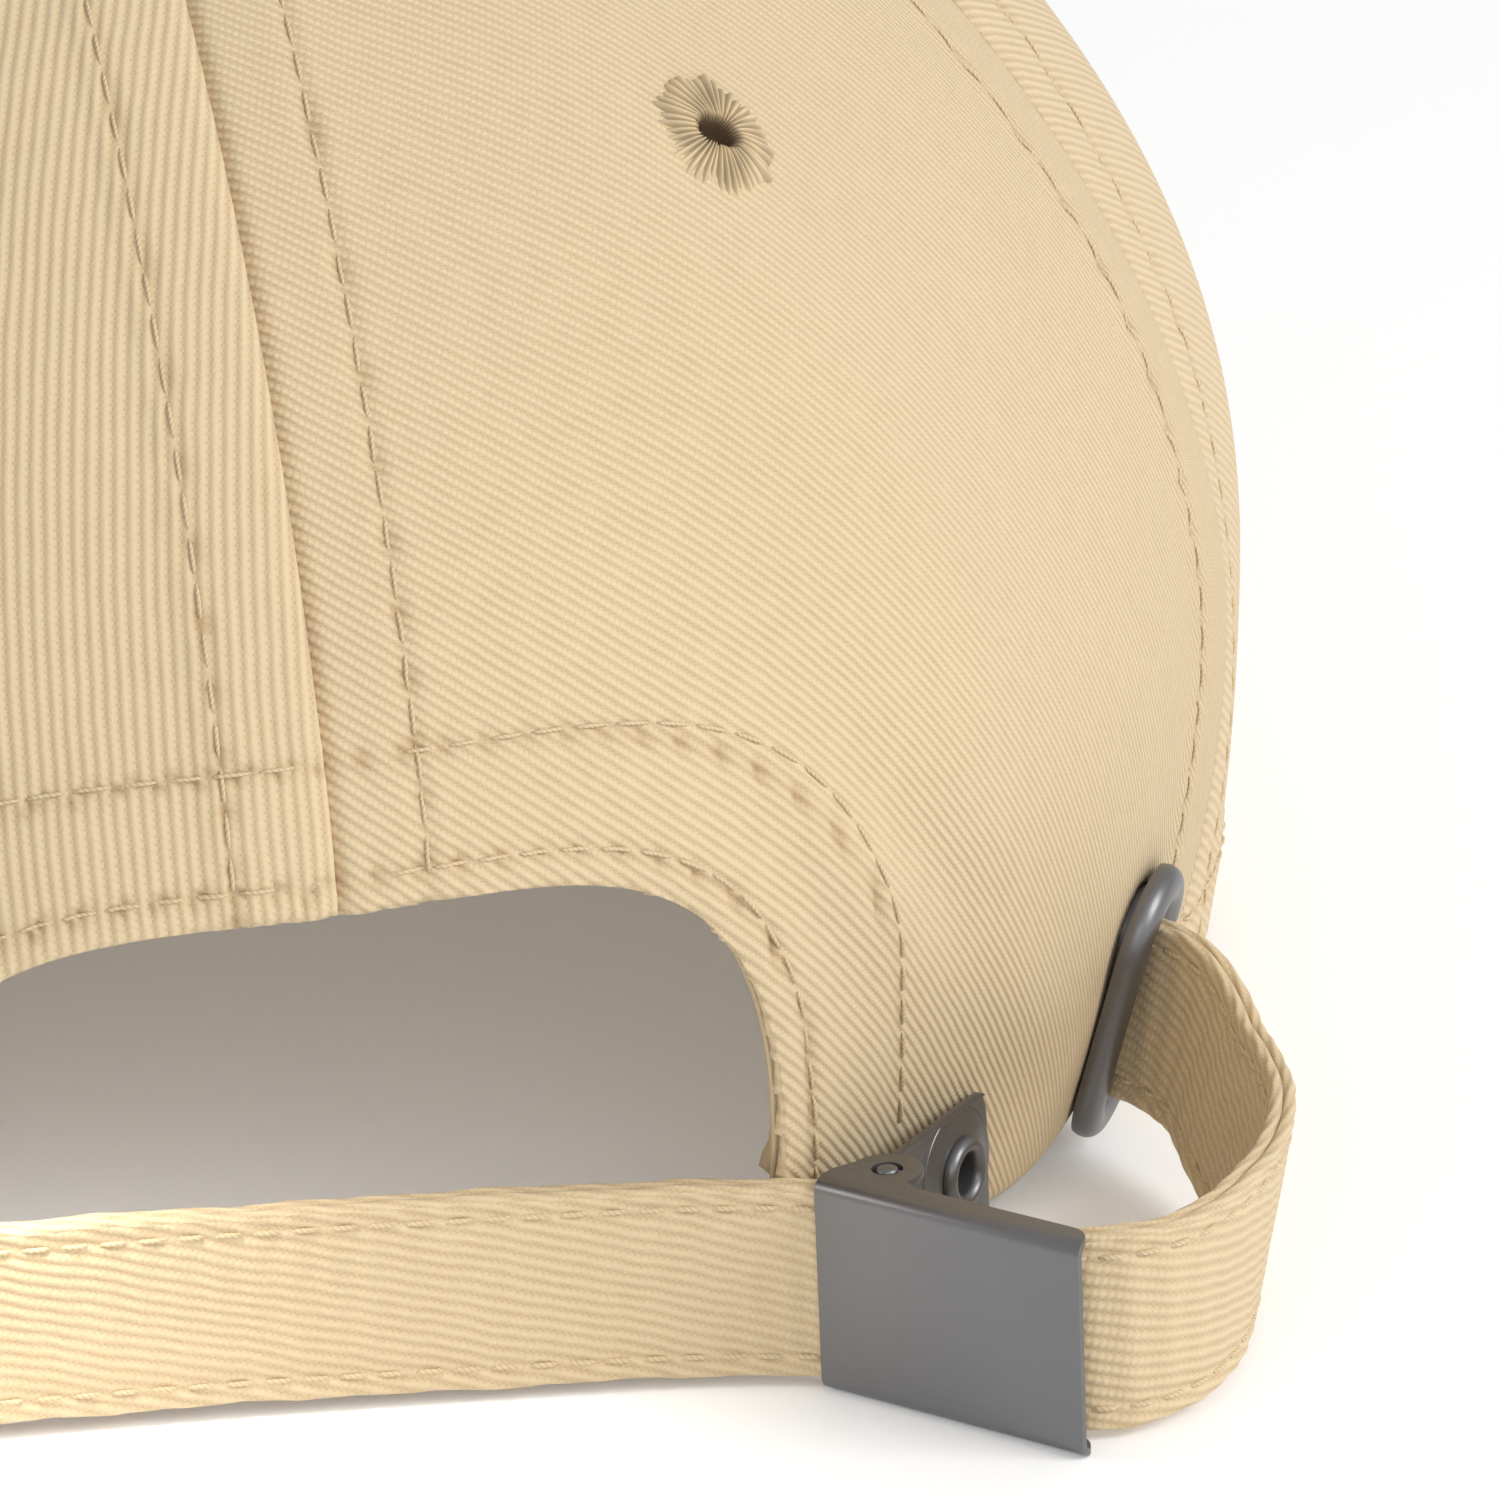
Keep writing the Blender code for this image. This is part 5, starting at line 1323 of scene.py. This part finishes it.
@dataclass
class Grommet:
    """Long rolled eyelet that takes the strap's tail."""

    shape: CrownShape
    maker: Maker
    rim: float = 2.9 * MM
    rise: float = 1.5 * MM
    low: float = 0.65 * MM

    def build(self) -> None:
        """Rim: a half ellipse over its width, carried round a slot with round ends, then down the barrel."""
        axes = self.shape.axes(math.radians(GROMMET[0]), GROMMET[1])
        length, width = GROMMET_SLOT
        crest = [(self.rim / 2.0 * (1.0 + math.cos(a)), self.low + self.rise * math.sin(a) ** 0.8)
                 for a in np.radians(np.linspace(0.0, 180.0, 17))]
        inside = -2.8 * MM
        profile = np.array([(self.rim - 0.15 * MM, self.low - 0.5 * MM), *crest, (0.0, inside), (0.8 * MM, inside),
                            (0.8 * MM, self.low - 0.5 * MM)])
        profile = np.vstack([profile, profile[:1]])
        straight = (length - width) / 2.0
        turn = np.radians(np.linspace(0.0, 360.0, 121))
        cy = np.where(np.sin(turn) >= 0.0, straight, -straight)
        radius = width / 2.0 + profile[:, 0]
        points = np.stack([
            np.cos(turn)[:, None] * radius,
            np.sin(turn)[:, None] * radius + cy[:, None],
            profile[:, 1] + 0.0 * turn[:, None],
        ], -1)
        rows = grid_faces(*points.shape[:2])
        obj = make_object("tail_grommet_rim", points, rows)
        place(weld(obj, outward=True), axes)
        obj.data.set_sharp_from_angle(angle=math.radians(60.0))
        self.maker.add(obj, "gunmetal", "gunmetal", ["tail_grommet"])
        self.maker.keep("tail_grommet_washer", "gunmetal")


# --- strap ---------------------------------------------------------------------------------


@dataclass
class Strap:
    """Two-ply strap on edge: sewn end to buckle, then the tail's loop, and the tail's end inside the crown."""

    shape: CrownShape
    maker: Maker
    buckle: Buckle
    stitching: Stitching = field(default_factory=lambda: Stitching(pitch=2.7 * MM, radius=0.21 * MM))
    width: float = 14.9 * MM
    thick: float = 1.9 * MM
    z: float = 8.2 * MM
    sewn_rise: float = 0.6 * MM
    row_in: float = 1.7 * MM
    wale_degrees: float = 76.0
    smoothing: int = 12  # the route is averaged over about this many of its points each way

    def spline(self, points: Sequence, count: int) -> Array:
        """Even points along a Catmull-Rom curve through the given ones."""
        points = np.array(points, float)
        padded = np.vstack([2.0 * points[0] - points[1], points, 2.0 * points[-1] - points[-2]])
        t = np.linspace(0.0, 1.0, 24, endpoint=False)[None, :, None]
        a, b, c, d = (padded[k : len(padded) - 3 + k, None] for k in range(4))
        curve = 0.5 * (2 * b + (c - a) * t + (2 * a - 5 * b + 4 * c - d) * t**2 + (3 * b - a - 3 * c + d) * t**3)
        curve = np.vstack([curve.reshape(-1, points.shape[1]), points[-1:]])
        run = run_along(curve[:, :3])
        even = np.linspace(0.0, run[-1], count)
        return np.stack([np.interp(even, run, curve[:, k]) for k in range(curve.shape[1])], -1)

    def routes(self) -> tuple[list, list, Array]:
        """Route points (x, y, z, share of lean) of the sewn part and of the tail, and the direction of full lean."""
        behind = self.buckle.lever_depth - self.buckle.sheet - self.buckle.gap - self.thick / 2.0
        axes = self.buckle.lever_axes
        end = axes @ Vector((-3.0 * MM, 0.3 * MM - behind, 0.0))
        heel = axes @ Vector((0.4 * MM, -behind, 0.0))
        start = axes @ Vector((0.5 * MM, -behind, 0.0))
        middle = axes @ Vector((9.0 * MM, -behind, 0.0))
        sewn = self.z + self.sewn_rise
        hem = self.shape.rear_hem
        at = [(x * MM, float(self.shape.phi_at(x * MM, hem))) for x in (54.0, 47.0)]
        ends = [self.shape.point(phi, self.shape.share_at(phi, hem), 3.7 * MM) for _, phi in at]
        hand_set = (
            (38.0, 79.5), (28.0, 80.6), (14.0, 82.3), (0.0, 84.5), (-14.0, 87.1), (-25.5, 89.4), (-31.0, 91.2),
        )
        fixed = [
            *((*p[:2], sewn, 0.0) for p in ends),
            *((x * MM, y * MM, sewn - self.sewn_rise * (40.0 - x) / 71.0, 0.0) for x, y in hand_set),
            (end.x, end.y, self.z, 0.0),
            (heel.x, heel.y, self.z, 0.0),
        ]
        grommet = self.shape.axes(math.radians(GROMMET[0]), GROMMET[1])
        outward = grommet.col[2]
        flat = Matrix.Translation(grommet.translation) @ Matrix.Rotation(math.atan2(outward.y, outward.x), 4, "Z")
        loop_set = (
            (-47.6, 106.2, 0.0, 0.0), (-51.8, 107.6, 0.0, 0.0), (-56.4, 106.7, 0.0, 0.1), (-61.0, 103.0, 0.1, 0.2),
            (-65.0, 97.5, 0.3, 0.5), (-68.2, 90.5, 0.7, 0.8), (-69.7, 83.0, 1.0, 1.0), (-70.1, 76.0, 1.2, 1.0),
        )
        through = ((8.0, -5.3), (4.8, -2.4), (2.2, -0.9), (-0.6, -0.2), (-3.6, 0.4), (-6.4, 3.9), (-6.6, 9.5))
        loop = [
            (start.x, start.y, self.z, 0.0),
            (middle.x, middle.y, self.z, 0.0),
            *((x * MM, y * MM, self.z + z * MM, lean) for x, y, z, lean in loop_set),
            *((*(flat @ (Vector((out, side, -0.12 * out)) * MM)), 1.0) for out, side in through),
        ]
        for degrees in (66.0, 73.0):
            phi = math.radians(degrees)
            loop.append((*self.shape.point(phi, self.shape.share_at(phi, GROMMET[1]), 5.4 * MM), 1.0))
        return fixed, loop, np.array(grommet.col[1][:3])

    def outline(self) -> tuple[Array, Array]:
        """Cross-section (across the thickness, across the width): two plies with round edges and a groove between."""
        half_w, ply = self.width / 2.0, self.thick / 4.0
        groove = half_w - self.row_in
        face = np.array([0.97, 0.9, 0.86, 0.80, 0.775, 0.75, 0.69, 0.5, 0.25, 0.0]) * half_w
        face = np.concatenate([face, -face[-2::-1]])
        dent = 0.16 * MM * bell(np.abs(face) - groove, 0.45 * MM)
        puff = 0.10 * MM * (1.0 - (face / half_w) ** 2)
        out = 2.0 * ply + puff - dent
        cap = np.radians(np.linspace(0.0, 180.0, 9))
        top = [(ply * sign + ply * np.cos(cap), half_w - ply + ply * np.sin(cap)) for sign in (1.0, -1.0)]
        left = np.stack([-out, face], -1)[1:-1]
        caps = np.concatenate([np.stack(t, -1) for t in top])
        section = np.concatenate([caps, left, -caps, -left])
        run = run_along(section)
        return section, run

    def frames(self, route: Sequence, count: int, lean: Array) -> tuple[Array, Array, Array, Array]:
        """Centre line, side and up directions and run along a route: upright at lean share 0, along lean at 1."""
        path = self.spline(route, count)
        far = 2 * self.smoothing
        reach = np.arange(-far, far + 1)
        weights = np.exp(-((reach / float(self.smoothing)) ** 2))
        padded = np.vstack([2.0 * path[0] - path[far:0:-1], path, 2.0 * path[-1] - path[-2 : -far - 2 : -1]])
        path = sum(w * padded[far + k : far + k + count] for w, k in zip(weights, reach)) / weights.sum()
        centre, share = path[:, :3], path[:, 3:]
        along = np.gradient(centre, axis=0)
        side = np.cross(along, (1.0 - share) * (0.0, 0.0, 1.0) + share * lean)
        side /= np.linalg.norm(side, axis=1, keepdims=True)
        up = np.cross(side, along)
        up /= np.linalg.norm(up, axis=1, keepdims=True)
        run = run_along(centre)
        return centre, side, up, run

    def band(self, name: str, frames: tuple, seed: int) -> bpy.types.Object:
        """Carries the outline along the frames, a little wavy along its edges, and closes both ends."""
        centre, side, up, run = frames
        section, around = self.outline()
        section = np.vstack([section, section[:1]])
        around = np.append(around, around[-1] + np.linalg.norm(section[-1] - section[-2]))
        rng = np.random.default_rng(seed)
        wave = sum(0.10 * MM * np.sin(run * k + rng.uniform(0.0, 6.28)) for k in (210.0, 470.0, 900.0))
        pucker = 1.0 + 0.05 * np.sin(2.0 * math.pi * run / (2.7 * MM))
        points = (
            centre[:, None]
            + side[:, None] * (section[:, 0] * pucker[:, None])[..., None]
            + up[:, None] * (section[:, 1] + wave[:, None] * np.sign(section[:, 1]) * 0.6)[..., None]
        )
        turn = math.radians(self.wale_degrees)
        u, v = np.broadcast_arrays(run[:, None], around)
        uv = np.stack([u * math.cos(turn) + v * math.sin(turn), v * math.cos(turn) - u * math.sin(turn)], -1)
        obj = make_object(name, points, grid_faces(*points.shape[:2]), uv)
        weld(obj)
        mesh = bmesh.new()
        mesh.from_mesh(obj.data)
        ends = [e for e in mesh.edges if e.is_boundary]
        bmesh.ops.holes_fill(mesh, edges=ends, sides=0)
        bmesh.ops.recalc_face_normals(mesh, faces=mesh.faces)
        mesh.to_mesh(obj.data)
        mesh.free()
        return obj

    def rows(self, frames: tuple) -> list[tuple[Array, Array]]:
        """Edge rows of stitches on both faces."""
        centre, side, up, _ = frames
        found = []
        for face in (1.0, -1.0):
            for edge in (1.0, -1.0):
                place_w = edge * (self.width / 2.0 - self.row_in)
                found.append((centre + side * face * (self.thick / 2.0 - 0.02 * MM) + up * place_w, side * face))
        return found

    def build(self) -> None:
        """Builds the strap's parts."""
        fixed, loop, lean = self.routes()
        sewn = self.frames(fixed, 300, lean)
        whole = self.frames(loop, 420, lean)
        grommet = np.array(self.shape.axes(math.radians(GROMMET[0]), GROMMET[1]).inverted())
        depth = (whole[0] @ grommet[:3, :3].T + grommet[:3, 3])[:, 2]
        split = int(np.argmax((depth < -2.6 * MM) & (np.arange(420) > 200)))
        parts = (
            ("strap_band", sewn, "back_strap", 3),
            ("strap_loop", tuple(part[: split + 1] for part in whole), "strap_tail", 5),
            ("strap_tucked_end", tuple(part[split:] for part in whole), "strap_tail", 6),
        )
        axis = tuple(self.buckle.base_axes.to_3x3() @ Vector((0.0, -1.0, 0.0)))
        anchor = tuple(self.buckle.base_axes @ Vector((0.0, -1.0 * MM, 0.0)))
        for name, frames, node, seed in parts:
            piece = self.maker.add(self.band(name, frames, seed), "strap_twill", "strap_twill", [node])
            row_ends = tuple(part[2:-2] for part in frames)
            stitches = self.stitching.mesh(f"{name}_stitches", self.rows(row_ends))
            threads = self.maker.add(stitches, "thread", "eyelet_thread")
            if name == "strap_loop":
                for moving in (piece, threads):
                    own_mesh(moving)


# --- studio --------------------------------------------------------------------------------


@dataclass
class Studio:
    """Pale floor with a faint glow, soft lights, a small lamp inside the crown, and the camera."""

    eye: tuple[float, float, float] = (86.64 * MM, 571.66 * MM, 234.64 * MM)
    back: tuple[float, float, float] = (0.22319, 0.90872, 0.35273)
    up: tuple[float, float, float] = (-0.12597, -0.33194, 0.93485)
    lens: float = 183.9
    floor_size: float = 4.0
    floor_drop: float = 0.1 * MM
    floor_shade: float = 0.93
    floor_glow: float = 0.15
    sky: float = 0.58

    def floor(self) -> None:
        """Large pale plane that glows faintly."""
        corners = ((-1.0, -1.0), (1.0, -1.0), (1.0, 1.0), (-1.0, 1.0))
        points = np.array([(x * self.floor_size, y * self.floor_size, -self.floor_drop) for x, y in corners])
        obj = make_object("floor", points, [(0, 1, 2, 3)])
        made = bpy.data.materials.new("floor_paint")
        made.use_nodes = True
        shader = made.node_tree.nodes["Principled BSDF"]
        shader.inputs["Base Color"].default_value = (self.floor_shade,) * 3 + (1.0,)
        shader.inputs["Roughness"].default_value = 0.9
        shader.inputs["Specular IOR Level"].default_value = 0.1
        shader.inputs["Emission Color"].default_value = (1.0, 1.0, 1.0, 1.0)
        shader.inputs["Emission Strength"].default_value = self.floor_glow
        obj.data.materials.append(made)

    def light(
        self, name: str, where: tuple, size: float, power: float, target: tuple = (0.0, 0.06, 0.04)
    ) -> None:
        """Square area light aimed at a point, unseen by the camera itself."""
        data = bpy.data.lights.new(name, "AREA")
        data.size = size
        data.energy = power
        obj = bpy.data.objects.new(name, data)
        obj.location = where
        obj.rotation_mode = "QUATERNION"
        obj.rotation_quaternion = (Vector(target) - Vector(where)).to_track_quat("-Z", "Y")
        obj.visible_camera = False
        bpy.context.scene.collection.objects.link(obj)

    def camera(self) -> None:
        """Long lens behind the cap's right rear, a little above it."""
        data = bpy.data.cameras.new("camera")
        data.lens = self.lens
        data.sensor_width = 36.0
        data.clip_start, data.clip_end = 0.01, 20.0
        obj = bpy.data.objects.new("camera", data)
        back, up = Vector(self.back).normalized(), Vector(self.up).normalized()
        right = up.cross(back).normalized()
        turn = Matrix((right, back.cross(right), back)).transposed().to_4x4()
        obj.matrix_world = Matrix.Translation(self.eye) @ turn
        bpy.context.scene.collection.objects.link(obj)
        bpy.context.scene.camera = obj

    def build(self) -> None:
        """Builds the studio."""
        self.floor()
        world = bpy.data.worlds.new("studio")
        world.use_nodes = True
        background = world.node_tree.nodes["Background"]
        background.inputs["Color"].default_value = (1.0, 1.0, 1.0, 1.0)
        background.inputs["Strength"].default_value = self.sky
        bpy.context.scene.world = world
        self.light("key", (-1.1, 0.9, 1.0), 0.8, 16.5)
        self.light("fill", (0.15, 1.5, 0.7), 0.7, 3.0)
        self.light("inside", (0.03, 0.088, 0.04), 0.015, 0.024, (0.03, 0.088, 0.0))
        bpy.context.scene.view_settings.view_transform = "Standard"
        self.camera()


def main() -> None:
    """Builds the studio and the cap in order, and reports each piece."""
    logging.basicConfig(level=logging.INFO, format="%(message)s")
    Studio().build()
    maker = Maker(Finishes())
    shape = CrownShape()
    buckle = Buckle(maker, shape)
    buckle.build()
    Grommet(shape, maker).build()
    Strap(shape, maker, buckle).build()
    Visor(shape, maker).build()
    Button(shape, maker).build()
    Crown(shape, maker, buckle.rivet_axes).build()
    LOG.info("%d pieces", len(maker.pieces))


if __name__ == "__main__":
    main()
